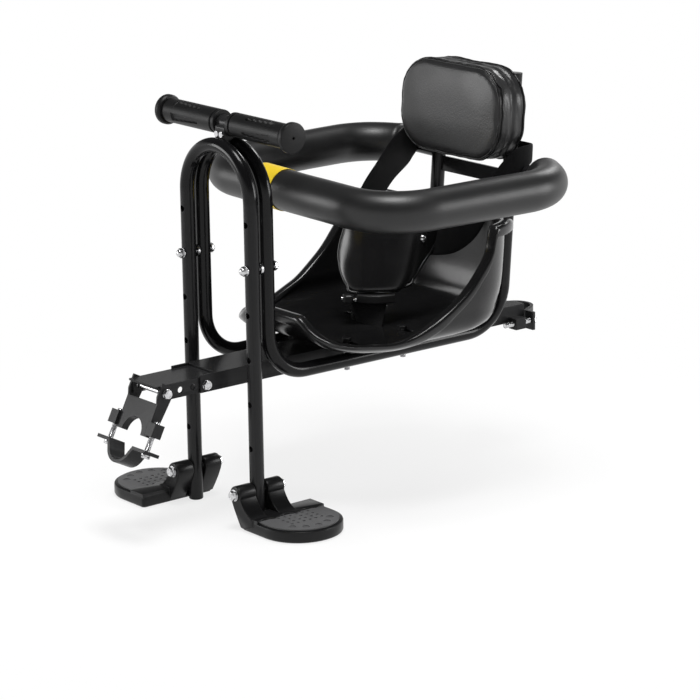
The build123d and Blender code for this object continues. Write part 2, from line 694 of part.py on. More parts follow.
def clamp_head():
    """Folded clamp bracket: a notched face and two ears on the pivot bolt."""
    face_height = HEAD_FACE_BOTTOM - HEAD_FACE_TOP
    face = Pos(0, -HEAD_REACH + HEAD_SHEET / 2, -(HEAD_FACE_TOP + HEAD_FACE_BOTTOM) / 2) * Box(
        2 * EAR_OUTER, HEAD_SHEET, face_height)
    lip_start = (0, -HEAD_REACH, -HEAD_NOTCH_CENTRE)
    lip_end = (0, HEAD_LIP - HEAD_REACH, -HEAD_NOTCH_CENTRE)
    lip = rod(POST_RADIUS + HEAD_SHEET, lip_start, lip_end)
    lip -= Pos(0, 0, -HEAD_FACE_BOTTOM - 2 * POST_RADIUS) * Box(4 * POST_RADIUS, 4 * HEAD_LIP, 4 * POST_RADIUS)
    face += lip
    face -= rod(POST_RADIUS, (0, -2 * HEAD_LIP, -HEAD_NOTCH_CENTRE), (0, 2 * HEAD_LIP, -HEAD_NOTCH_CENTRE))
    outline = [
        (-HEAD_EAR_RADIUS, HEAD_EAR_RISE),
        (-HEAD_EAR_RADIUS, -HEAD_FACE_TOP / 2),
        (-HEAD_REACH, -HEAD_FACE_TOP),
        (-HEAD_REACH, -HEAD_FACE_BOTTOM),
        (HEAD_LIP - HEAD_REACH, -HEAD_FACE_BOTTOM),
        (HEAD_EAR_WAIST, -HEAD_BLOCK_TOP),
        (HEAD_EAR_RADIUS, 0),
        (0, HEAD_EAR_RISE),
    ]
    ear_plane = Plane(origin=(EAR_INNER, 0, 0), x_dir=(0, 1, 0), z_dir=(1, 0, 0))
    ear = extrude(ear_plane * make_face(Polyline(*outline, close=True)), HEAD_SHEET)
    ear += extrude(ear_plane * Circle(HEAD_EAR_RADIUS), HEAD_SHEET)
    ear -= rod(BOLT_HOLE_R, (EAR_INNER - 1, 0, 0), (EAR_OUTER + 1, 0, 0))
    return head_place(face + ear + mirrored(ear))


def head_bolt_y():
    """Y of the front jaw's bolts in the head's own frame."""
    return -HEAD_BOLT_FORWARD


def head_nut_blocks():
    """Square nuts welded on the head's ears."""
    y = head_bolt_y()
    low = -HEAD_BLOCK_TOP - NUT_BLOCK_LENGTH
    block = nut_block((FRONT_BOLT_X, y, -HEAD_BLOCK_TOP), (FRONT_BOLT_X, y, low))
    return head_place(pair(block))


def pivot_bolt():
    """Bolt that the clamp head tilts on."""
    return cross_bolt(PIVOT_Y, EAR_OUTER + MOVING_GAP)


def pivot_nut():
    """Nut of the pivot bolt."""
    return cross_nut(PIVOT_Y, EAR_OUTER + MOVING_GAP)


def front_jaw():
    """Lower jaw under the clamp head, open as it is when no tube is held."""
    pressed = jaw(FRONT_JAW_HALF_WIDTH, FRONT_TROUGH_DEPTH, FRONT_JAW_DEPTH, FRONT_BOLT_X)
    return head_place(Pos(0, head_bolt_y(), -FRONT_JAW_CENTRE) * Rot(-90, 0, 0) * pressed)


def front_jaw_bolts():
    """Bolts from under the front jaw up through the head's nuts."""
    y = head_bolt_y()
    head = (FRONT_BOLT_X, y, -FRONT_JAW_CENTRE - jaw_back(FRONT_TROUGH_DEPTH))
    return head_place(pair(hex_bolt(head, (FRONT_BOLT_X, y, -FRONT_BOLT_TOP))))


def rear_jaw():
    """Jaw behind the seat post, a little below the rail's middle."""
    pressed = jaw(REAR_JAW_HALF_WIDTH, REAR_TROUGH_DEPTH, REAR_JAW_DEPTH, REAR_BOLT_X)
    return Pos(0, 0, -REAR_JAW_DROP) * pressed


def shell_section(z, front, rear, half, corner):
    """A rounded plan outline of the seat shell at one height."""
    outline = RectangleRounded(2 * half, rear - front, corner)
    return Pos(0, (front + rear) / 2, z) * outline


def shell_body(inset):
    """The seat shell's outer form, or its hollow where an inset is given."""
    floor = SHELL_BOTTOM + inset
    levels = [
        (floor, 36.0, 44.0, 34.0, 52.0),
        (SHELL_BOTTOM + 10.0, 16.0, 22.0, 12.0, 62.0),
        (SHELL_BOTTOM + 34.0, 3.0, 9.0, 3.0, 68.0),
        (SHELL_BOTTOM + 80.0, 0.0, 2.0, 0.0, 70.0),
        (SHELL_WING_TOP + SHELL_WALL, 0.0, 0.0, 0.0, 70.0),
    ]
    sections = []
    for z, front_in, rear_in, side_in, corner in levels:
        sections.append(shell_section(
            z,
            -SHELL_FRONT + front_in + inset,
            -SHELL_REAR - rear_in - inset,
            SHELL_HALF_WIDTH - side_in - inset,
            corner - inset,
        ))
    return loft(sections)


def shell_rim_cut():
    """What is trimmed off the shell above its rim: a side profile and two dips for the legs."""
    top = SHELL_WING_TOP + 2 * RIM_SKIRT
    rise = SHELL_WING_TOP - SHELL_SIDE_LOW
    wing_top = SHELL_WING_TOP - SHELL_WING_CORNER / 2
    rim = Spline(
        (-SHELL_FRONT, SHELL_LIP_HEIGHT),
        (-SHELL_FRONT + SHELL_LIP_RUN, SHELL_SIDE_LOW),
        (-SHELL_WING_FRONT - rise * 0.65, SHELL_SIDE_LOW + rise * 0.12),
        (-SHELL_WING_FRONT - rise * 0.35, SHELL_SIDE_LOW + rise * 0.31),
        (-SHELL_WING_FRONT - rise * 0.18, SHELL_SIDE_LOW + rise * 0.48),
        (-SHELL_WING_FRONT - rise * 0.05, SHELL_SIDE_LOW + rise * 0.68),
        (-SHELL_WING_FRONT, wing_top),
        tangents=((1, -0.6), (0.1, 1)),
    )
    far = SHELL_FRONT + 2 * SHELL_HALF_WIDTH
    wing_flat = -SHELL_WING_FRONT + SHELL_WING_CORNER
    edges = [
        Line((-far, top), (-far, SHELL_LIP_HEIGHT)),
        Line((-far, SHELL_LIP_HEIGHT), (-SHELL_FRONT, SHELL_LIP_HEIGHT)),
        rim,
        Line((-SHELL_WING_FRONT, wing_top), (wing_flat, SHELL_WING_TOP)),
        Line((wing_flat, SHELL_WING_TOP), (0, SHELL_WING_TOP)),
        Line((0, SHELL_WING_TOP), (0, top)),
        Line((0, top), (-far, top)),
    ]
    side = Plane(origin=(0, 0, 0), x_dir=(0, 1, 0), z_dir=(1, 0, 0))
    cut = extrude(side * make_face(edges), 2 * SHELL_HALF_WIDTH, both=True)
    notch_z = LEG_NOTCH_LOW + LEG_NOTCH_RADIUS
    notch = rod(LEG_NOTCH_RADIUS, (LEG_NOTCH_X, -SHELL_FRONT - LEG_NOTCH_RUN / 2, notch_z - LEG_NOTCH_RISE / 2),
                (LEG_NOTCH_X, -SHELL_FRONT + LEG_NOTCH_RUN, notch_z + LEG_NOTCH_RISE))
    return cut + notch + mirrored(notch)


def seat_bolt_points():
    """Plan places of the bolts that hold the seat shell."""
    return [(side * SEAT_BOLT_X, y) for y in CROSS_PLATE_YS for side in (1, -1)]


def seat_shell():
    """Moulded bucket seat: raised nose, dips for the legs, side wings and a rolled rim."""
    cut = shell_rim_cut()
    outer = shell_body(0.0)
    flange = (shell_body(-RIM_REACH) - outer) & (Pos(0, 0, -RIM_WALL) * cut)
    skirt = (shell_body(-RIM_REACH) - shell_body(RIM_WALL - RIM_REACH)) & (Pos(0, 0, -RIM_SKIRT) * cut)
    shell = outer - shell_body(SHELL_WALL) + flange + skirt - cut
    slot_size = (STRAP_WIDTH + 2 * MOVING_GAP, STRAP_THICKNESS + 2 * MOVING_GAP, 4 * SHELL_WALL)
    shell -= Pos(0, BUCKLE_Y, SHELL_BOTTOM) * Box(*slot_size)
    for x, y in seat_bolt_points():
        side = 1 if x > 0 else -1
        slot = extrude(SlotOverall(SEAT_SLOT_LENGTH, 2 * BOLT_HOLE_R), 2 * SHELL_WALL, both=True)
        shell -= Pos(side * SEAT_SLOT_X, y, SHELL_BOTTOM) * slot
    return max(shell.solids(), key=lambda piece: piece.volume)


def cross_plates():
    """Flat plates across the rail and the floor runs, under the seat shell."""
    plates = []
    for y in CROSS_PLATE_YS:
        plate = Pos(0, y, RAIL_TOP + CROSS_PLATE_THICKNESS / 2) * Box(
            REAR_SPACING + 2 * CROSS_PLATE_OVERHANG, CROSS_PLATE_WIDTH, CROSS_PLATE_THICKNESS)
        for side in (1, -1):
            plate -= rod(BOLT_HOLE_R, (side * SEAT_BOLT_X, y, 0), (side * SEAT_BOLT_X, y, 2 * PLATE_TOP))
        plates.append(plate)
    return group(*plates)


def seat_bolts():
    """Bolts from inside the seat shell down through the cross plates."""
    head_z = SHELL_BOTTOM + SHELL_WALL + BOLTED_GAP
    return group(*[hex_bolt((x, y, head_z), (x, y, head_z - SEAT_BOLT_LENGTH)) for x, y in seat_bolt_points()])


def seat_nuts():
    """Nuts under the cross plates."""
    seat = RAIL_TOP - BOLTED_GAP
    return group(*[nut((x, y, seat), (x, y, seat - TUBE_OD)) for x, y in seat_bolt_points()])


def backrest_plane():
    """The leaning plane through the rear uprights' centre lines, where the cushion's back is."""
    origin = Vector(0, upright_y(CUSHION_BOTTOM), CUSHION_BOTTOM)
    up = Vector(0, LEAN_SLOPE, 1).normalized()
    out = Vector(0, -up.Z, up.Y)
    return Plane(origin=origin, x_dir=(1, 0, 0), z_dir=out)


def cushion_screw_line(side, rise):
    """From behind an upright to the screw's tip in the cushion."""
    plane = backrest_plane()
    beside = TUBE_R + MOVING_GAP
    start = plane.from_local_coords((side * REAR_HALF, rise, -beside))
    end = plane.from_local_coords((side * REAR_HALF, rise, beside + CUSHION_SCREW_DEPTH))
    return tuple(start), tuple(end)


def backrest_cushion():
    """Padded backrest with rounded corners, grooved behind for the uprights."""
    outline = Pos(0, CUSHION_HEIGHT / 2) * RectangleRounded(CUSHION_WIDTH, CUSHION_HEIGHT, CUSHION_CORNER)
    pad = extrude(backrest_plane() * outline, CUSHION_DEPTH)
    front_edges = pad.edges().group_by(Axis.Y)[0]
    pad = fillet(front_edges, CUSHION_EDGE)
    high = CUSHION_BOTTOM + 2 * CUSHION_HEIGHT
    groove = rod(TUBE_R + MOVING_GAP, (REAR_HALF, upright_y(0), 0), (REAR_HALF, upright_y(high), high))
    pad -= groove
    pad -= mirrored(groove)
    for side in (1, -1):
        for rise in CUSHION_SCREW_RISES:
            pad -= rod(CUSHION_SCREW_D / 2 + BOLTED_GAP, *cushion_screw_line(side, rise))
    return pad


def cushion_screws():
    """Screws through the rear uprights into the cushion's board."""
    screws = []
    for side in (1, -1):
        for rise in CUSHION_SCREW_RISES:
            start, end = cushion_screw_line(side, rise)
            tip = toward(end, start, BOLTED_GAP)
            head = rod(CUSHION_SCREW_D * 0.9, toward(start, end, -CUSHION_SCREW_D / 2), start)
            screws.append(rod(CUSHION_SCREW_D / 2, start, tip) + head)
    return group(*screws)


def bib_up():
    """The direction in which the harness bib rises, leaning back as it hangs."""
    lean, turn = radians(BIB_LEAN), radians(BIB_LEAN_TURN)
    return Vector(-sin(lean) * sin(turn), sin(lean) * cos(turn), cos(lean))


def bib_plane():
    """The plane of the harness bib at the middle of its lower edge, turned as the buckle is."""
    across = Vector(cos(radians(BUCKLE_TURN)), sin(radians(BUCKLE_TURN)), 0)
    face = across.cross(bib_up()).normalized()
    edge = BIB_BOTTOM_WIDTH / 2
    sag = BIB_BOW_RADIUS - (BIB_BOW_RADIUS ** 2 - edge ** 2) ** 0.5 + BIB_THICKNESS / 2
    low = BUCKLE_HEIGHT + BUCKLE_SIZE[2] + MOVING_GAP + sag * face.Z
    return Plane(origin=(0, BUCKLE_Y, low), x_dir=across, z_dir=face)


def bib_shift(height):
    """How far the bib's middle line drifts along its width at a height."""
    plane = bib_plane()
    up = bib_up()
    return height * up.dot(plane.x_dir) / up.dot(plane.y_dir)


def bib_point(x, height, behind):
    """A point behind the bowed bib's face, x from its middle line."""
    back = (BIB_BOW_RADIUS ** 2 - x ** 2) ** 0.5 - BIB_BOW_RADIUS
    return bib_plane().from_local_coords((x + bib_shift(height), height, back - behind))


def harness_bib():
    """Padded bib above the buckle: a bowed panel that widens to its top."""
    plane = bib_plane()
    levels = [(0, BIB_BOTTOM_WIDTH / 2), (BIB_MID_HEIGHT, BIB_MID_WIDTH / 2), (BIB_HEIGHT, BIB_TOP_WIDTH / 2)]
    right = [(bib_shift(height) + half, height) for height, half in levels]
    left = [(bib_shift(height) - half, height) for height, half in reversed(levels)]
    outline = make_face(Polyline(*right, *left, close=True))
    block = extrude(plane * outline, BIB_BOW_RADIUS, both=True)
    axis = Plane(origin=plane.from_local_coords((0, 0, -BIB_BOW_RADIUS)), x_dir=plane.x_dir, z_dir=bib_up())
    ring = Circle(BIB_BOW_RADIUS + BIB_THICKNESS / 2) - Circle(BIB_BOW_RADIUS - BIB_THICKNESS / 2)
    panel = Pos(*(bib_up() * -BIB_HEIGHT)) * extrude(axis * ring, 3 * BIB_HEIGHT) & block
    return max(panel.solids(), key=lambda piece: piece.center().dot(plane.z_dir))


def strap_panel(start, end, low_edge, high_edge):
    """An upright strip of webbing between two plan points, with edges as shares of its run and heights."""
    across = Vector(end[0] - start[0], end[1] - start[1], 0)
    plane = Plane(origin=(start[0], start[1], 0), x_dir=across, z_dir=across.cross(Vector(0, 0, 1)))
    edge = [(share * across.length, height) for share, height in low_edge + high_edge[::-1]]
    return extrude(plane * make_face(Polyline(*edge, close=True)), STRAP_THICKNESS / 2, both=True)


def shoulder_strap(side):
    """Strap looped behind a rear upright, over the guard ring's tube and down to the bib's upper corner."""
    loop_low = GUARD_HEIGHT + TUBE_R + STRAP_THICKNESS
    loop_y = upright_y(loop_low) + TUBE_R + STRAP_LOOP_BEHIND + STRAP_THICKNESS / 2
    loop_top = loop_low + STRAP_LOOP_HEIGHT
    over_y = GUARD_REAR_Y - TUBE_R - STRAP_OVER_FORWARD
    behind = -STRAP_FOOT_AHEAD if side > 0 else STRAP_FOOT_BEHIND
    foot = bib_point(side * STRAP_FOOT_X, STRAP_FOOT_RISE, behind)
    inner = (side * STRAP_LOOP_INNER_X, loop_y)
    outer = (side * STRAP_LOOP_X, loop_y)
    over = (side * STRAP_OVER_X, over_y)
    loop = strap_panel(inner, outer, [(0, loop_low), (1, loop_low)], [(0, loop_top), (1, loop_top)])
    shoulder = strap_panel(outer, over, [(0, loop_low), (1, loop_low)], [(0, loop_top), (1, loop_top)])
    fall = strap_panel(
        over, (foot.X, foot.Y),
        [(0, loop_low - STRAP_DROP), (0.35, SHELL_WING_TOP + STRAP_THICKNESS), (1, foot.Z - STRAP_SAG)],
        [(0, loop_top), (0.2, loop_low), (0.4, loop_low - 0.6 * STRAP_DROP), (1, foot.Z)],
    )
    return loop + shoulder + fall


def crotch_strap():
    """Flat strap from the buckle down into its slot in the seat shell's floor."""
    low = SHELL_BOTTOM + MOVING_GAP
    high = BUCKLE_HEIGHT - MOVING_GAP
    return Pos(0, BUCKLE_Y, (low + high) / 2) * Box(STRAP_WIDTH, STRAP_THICKNESS, high - low)


def buckle():
    """Plastic buckle that joins the straps, turned as it hangs loose."""
    width, depth, height = BUCKLE_SIZE
    body = chamfer(Box(width, depth, height).edges().filter_by(Axis.X), height / 3)
    return Pos(0, BUCKLE_Y, BUCKLE_HEIGHT + height / 2) * Rot(0, 0, BUCKLE_TURN) * body


def footrest():
    """Near footrest: D-shaped plate with a raised root and two hinge lugs."""
    inner_x = FRONT_HALF + TUBE_R + MOVING_GAP
    top = FOOT_PIVOT_Z - FOOT_TOP_BELOW_PIVOT
    mid_y = LEG_Y + FOOT_REARWARD
    outline = Rectangle(FOOT_WIDTH, FOOT_LENGTH)
    outer = outline.vertices().group_by(Axis.X)[-1]
    outline = fillet(outer, FOOT_CORNER)
    plate = Pos(inner_x + FOOT_WIDTH / 2, mid_y, top - FOOT_THICKNESS) * extrude(outline, FOOT_THICKNESS)
    plate = fillet(plate.edges().group_by(Axis.Z)[0], FOOT_THICKNESS / 6)
    root = Pos(inner_x + FOOT_ROOT_WIDTH / 2, mid_y, top + FOOT_ROOT_RISE / 2) * Box(
        FOOT_ROOT_WIDTH, FOOT_LENGTH, FOOT_ROOT_RISE)
    web = [
        (FRONT_HALF - FOOT_LUG_RADIUS, FOOT_PIVOT_Z),
        (FRONT_HALF - FOOT_LUG_RADIUS * 0.8, top),
        (FRONT_HALF, top - FOOT_THICKNESS),
        (inner_x + FOOT_LUG_RADIUS, top - FOOT_THICKNESS),
        (inner_x + FOOT_ROOT_WIDTH, top),
        (FRONT_HALF + FOOT_LUG_RADIUS, FOOT_PIVOT_Z),
    ]
    for near_y, away in ((LEG_Y - TUBE_R - MOVING_GAP, -1), (LEG_Y + TUBE_R + MOVING_GAP, 1)):
        plane = Plane(origin=(0, near_y, 0), x_dir=(1, 0, 0), z_dir=(0, -1, 0))
        lug = extrude(plane * make_face(Polyline(*web, close=True)), -away * FOOT_LUG_LENGTH)
        lug += extrude(plane * Pos(FRONT_HALF, FOOT_PIVOT_Z) * Circle(FOOT_LUG_RADIUS), -away * FOOT_LUG_LENGTH)
        plate += lug
    plate += root
    reach = FOOT_LENGTH
    plate -= rod(BOLT_HOLE_R, (FRONT_HALF, LEG_Y - reach, FOOT_PIVOT_Z), (FRONT_HALF, LEG_Y + reach, FOOT_PIVOT_Z))
    return plate


def tread():
    """Grippy tread on the near footrest: a thin pad with rows of dimples and larger cups at its round edge."""
    inner_x = FRONT_HALF + TUBE_R + MOVING_GAP + FOOT_ROOT_WIDTH + TREAD_MARGIN / 2
    width = FOOT_WIDTH - FOOT_ROOT_WIDTH - 1.5 * TREAD_MARGIN
    length = FOOT_LENGTH - 2 * TREAD_MARGIN
    base = FOOT_PIVOT_Z - FOOT_TOP_BELOW_PIVOT + BOLTED_GAP / 2
    mid_y = LEG_Y + FOOT_REARWARD
    corner = FOOT_CORNER - TREAD_MARGIN
    outline = Rectangle(width, length)
    outline = fillet(outline.vertices().group_by(Axis.X)[-1], corner)
    pad = Pos(inner_x + width / 2, mid_y, base) * extrude(outline, TREAD_THICKNESS)
    floor = base + TREAD_THICKNESS - TREAD_DOT_DEPTH
    dot = extrude(Circle(TREAD_DOT_D / 2), TREAD_THICKNESS)
    first_x = inner_x + TREAD_MARGIN
    for column in range(TREAD_DOT_COLUMNS):
        for row in range(TREAD_DOT_ROWS):
            y = mid_y + (row - (TREAD_DOT_ROWS - 1) / 2) * TREAD_DOT_PITCH
            pad -= Pos(first_x + column * TREAD_DOT_PITCH, y, floor) * dot
    cup = extrude(Circle(TREAD_CUP_D / 2), TREAD_THICKNESS)
    centre_x = inner_x + width - corner
    for k in range(TREAD_CUP_COUNT):
        angle = radians((k - (TREAD_CUP_COUNT - 1) / 2) * TREAD_CUP_STEP)
        reach = corner - TREAD_CUP_INSET
        pad -= Pos(centre_x + reach * cos(angle), mid_y + reach * sin(angle), floor) * cup
    return pad


def foot_bolt_ends():
    """Front and rear seats of the footrest pivot bolts."""
    front = LEG_Y - TUBE_R - MOVING_GAP - FOOT_LUG_LENGTH - MOVING_GAP
    rear = LEG_Y + TUBE_R + MOVING_GAP + FOOT_LUG_LENGTH + MOVING_GAP
    return front, rear


def foot_bolts():
    """Pivot bolts of both footrests."""
    front, rear = foot_bolt_ends()
    head = (FRONT_HALF, front - WASHER_THICKNESS - BOLTED_GAP, FOOT_PIVOT_Z)
    tip = (FRONT_HALF, rear + NUT_HEIGHT, FOOT_PIVOT_Z)
    return pair(hex_bolt(head, tip))


def foot_washers():
    """Washers under the pivot bolts' heads."""
    front, _ = foot_bolt_ends()
    start = (FRONT_HALF, front - WASHER_THICKNESS, FOOT_PIVOT_Z)
    return pair(sleeve(WASHER_OD / 2, BOLT_HOLE_R, start, (FRONT_HALF, front, FOOT_PIVOT_Z)))


def foot_nuts():
    """Nuts behind the footrests."""
    _, rear = foot_bolt_ends()
    seat = (FRONT_HALF, rear, FOOT_PIVOT_Z)
    return pair(nut(seat, (FRONT_HALF, rear + TUBE_OD, FOOT_PIVOT_Z)))


NODES = {
    "frame_tube": frame_tube,
    "upright_plugs": upright_plugs,
    "rear_crossbar": rear_crossbar,
    "guard_tube": guard_tube,
    "guard_foam": guard_foam,
    "guard_band": guard_band,
    "leg_loop": leg_loop,
    "leg_plugs": leg_plugs,
    "leg_bolts": leg_bolts,
    "leg_nuts": leg_nuts,
    "leg_spacers": leg_spacers,
    "grab_bar": grab_bar,
    "left_grip": grip,
    "right_grip": lambda: mirrored(grip()),
    "bar_bracket": bar_bracket,
    "set_screws": set_screws,
    "outer_rail": outer_rail,
    "inner_rail": inner_rail,
    "rail_bolts": rail_bolts,
    "rail_nuts": rail_nuts,
    "rear_nut_blocks": rear_nut_blocks,
    "rear_jaw": rear_jaw,
    "rear_jaw_bolts": rear_jaw_bolts,
    "clamp_head": clamp_head,
    "head_nut_blocks": head_nut_blocks,
    "pivot_bolt": pivot_bolt,
    "pivot_nut": pivot_nut,
    "front_jaw": front_jaw,
    "front_jaw_bolts": front_jaw_bolts,
    "seat_shell": seat_shell,
    "cross_plates": cross_plates,
    "seat_bolts": seat_bolts,
    "seat_nuts": seat_nuts,
    "backrest_cushion": backrest_cushion,
    "cushion_screws": cushion_screws,
    "left_shoulder_strap": lambda: shoulder_strap(1),
    "right_shoulder_strap": lambda: shoulder_strap(-1),
    "crotch_strap": crotch_strap,
    "harness_bib": harness_bib,
    "buckle": buckle,
    "left_footrest": footrest,
    "right_footrest": lambda: turned(footrest()),
    "left_tread": tread,
    "right_tread": lambda: turned(tread()),
    "foot_bolts": foot_bolts,
    "foot_washers": foot_washers,
    "foot_nuts": foot_nuts,
}


def main():
    """Writes one STEP file for each node."""
    os.makedirs("parts", exist_ok=True)
    for name, make in NODES.items():
        export_step(make(), f"parts/{name}.step")


main()
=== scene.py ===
"""Looks of a front-mounted child bicycle seat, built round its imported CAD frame."""
import json
import logging
import math
from dataclasses import dataclass
from enum import Enum
from typing import Callable, Iterable, Sequence

import bmesh
import bpy
from mathutils import Matrix, Vector, noise


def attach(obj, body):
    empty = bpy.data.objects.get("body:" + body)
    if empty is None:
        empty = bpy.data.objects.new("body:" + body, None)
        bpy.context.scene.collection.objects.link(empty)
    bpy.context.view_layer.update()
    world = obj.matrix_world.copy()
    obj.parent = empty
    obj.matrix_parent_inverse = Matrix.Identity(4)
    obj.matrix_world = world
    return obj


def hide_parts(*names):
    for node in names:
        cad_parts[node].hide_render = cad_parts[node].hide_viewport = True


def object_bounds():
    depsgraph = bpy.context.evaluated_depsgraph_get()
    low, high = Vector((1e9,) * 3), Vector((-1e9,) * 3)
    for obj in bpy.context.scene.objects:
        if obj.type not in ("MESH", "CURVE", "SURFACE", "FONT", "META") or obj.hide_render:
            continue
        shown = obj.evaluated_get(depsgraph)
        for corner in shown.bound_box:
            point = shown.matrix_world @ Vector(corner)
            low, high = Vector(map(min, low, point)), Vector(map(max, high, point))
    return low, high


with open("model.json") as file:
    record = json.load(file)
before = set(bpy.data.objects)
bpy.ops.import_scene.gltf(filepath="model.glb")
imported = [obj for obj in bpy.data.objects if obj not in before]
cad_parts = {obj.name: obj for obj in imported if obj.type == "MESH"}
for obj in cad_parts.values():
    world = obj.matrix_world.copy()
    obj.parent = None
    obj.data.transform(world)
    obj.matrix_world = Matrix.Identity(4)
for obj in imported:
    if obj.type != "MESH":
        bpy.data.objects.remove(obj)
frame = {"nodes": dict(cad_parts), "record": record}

CAD_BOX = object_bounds()
LOG = logging.getLogger("child_seat")
MM = 0.001
WHITE = (1.0, 1.0, 1.0, 1.0)
FRAME_BODY = "seat_frame"
SHARP_ANGLE = 38.0
NEVER_SHARP = 180.0
SIDES = ((1.0, "left"), (-1.0, "right"))
CLOTH_FRAMES = 20
EVEN_ROUNDS = 14
CLOUD_SCALE = 28.0
CLOUD_STOPS = (0.3, 0.7)
EDGE_STOPS = (0.5, 0.62)
BEVEL_SAMPLES = 6
RIBBON_SIDES = 28
RIBBON_EDGE = (0.35, 0.7)
Point = Sequence[float]
Socket = bpy.types.NodeSocket


class Grain(Enum):
    """Surface textures that the seat's materials show."""

    PAINT = "gloss paint with orange peel"
    ZINC = "bright plated steel"
    FOAM = "closed-cell foam skin"
    RUBBER = "moulded rubber"
    MOULDED = "fine-grained moulded plastic"
    LEATHERETTE = "pebbled leatherette"
    WEBBING = "woven strap"
    WRAP = "smooth coloured wrap"


class Graph:
    """Small helper that adds and joins the nodes of a material or a world."""

    def __init__(self, owner: bpy.types.Material | bpy.types.World, output: str = "ShaderNodeOutputMaterial") -> None:
        """Starts with an empty node tree.

        Args:
            owner: The material or the world.
            output: Blender's type of its output node.
        """
        owner.use_nodes = True
        self.tree = owner.node_tree
        self.tree.nodes.clear()
        self.output = self.tree.nodes.new(output)

    def node(self, kind: str, **settings: object) -> bpy.types.Node:
        """Adds a node.

        Args:
            kind: Blender's node type.
            settings: Attributes of the node, or what its inputs get by name with _ for a space: a value or a socket.

        Returns:
            The new node.
        """
        made = self.tree.nodes.new(kind)
        for key, value in settings.items():
            if hasattr(made, key):
                setattr(made, key, value)
            else:
                self.feed(made.inputs[key.replace("_", " ")], value)
        return made

    def feed(self, target: Socket, value: object) -> None:
        """Links a socket to an input, or sets the input's value.

        Args:
            target: The input.
            value: A socket or a value.
        """
        if isinstance(value, Socket):
            self.tree.links.new(value, target)
        else:
            target.default_value = value

    def reckon(self, operation: str, *values: Socket | float) -> Socket:
        """Adds a node that reckons with two values.

        Args:
            operation: Blender's name of the operation.
            values: Sockets or numbers.

        Returns:
            The result.
        """
        made = self.node("ShaderNodeMath", operation=operation)
        for slot, value in enumerate(values):
            self.feed(made.inputs[slot], value)
        return made.outputs["Value"]

    def show(self, shader: Socket) -> None:
        """Puts a shader on the surface."""
        self.feed(self.output.inputs["Surface"], shader)

    def show_mix(self, share: Socket, first: Socket, second: Socket) -> None:
        """Puts a mix of two shaders on the surface.

        Args:
            share: Share of the second shader.
            first: The first shader.
            second: The second shader.
        """
        mix = self.node("ShaderNodeMixShader")
        for slot, value in enumerate((share, first, second)):
            self.feed(mix.inputs[slot], value)
        self.show(mix.outputs["Shader"])

    def ramp(self, source: Socket, stops: Iterable[tuple[float, Sequence[float]]]) -> Socket:
        """Adds a colour ramp on a socket.

        Args:
            source: The value that the ramp reads.
            stops: Places and colours of its two stops.

        Returns:
            The ramp's colour.
        """
        made = self.node("ShaderNodeValToRGB", Fac=source)
        for element, (place, colour) in zip(made.color_ramp.elements, stops):
            element.position = place
            element.color = (*colour, 1.0)
        return made.outputs["Color"]


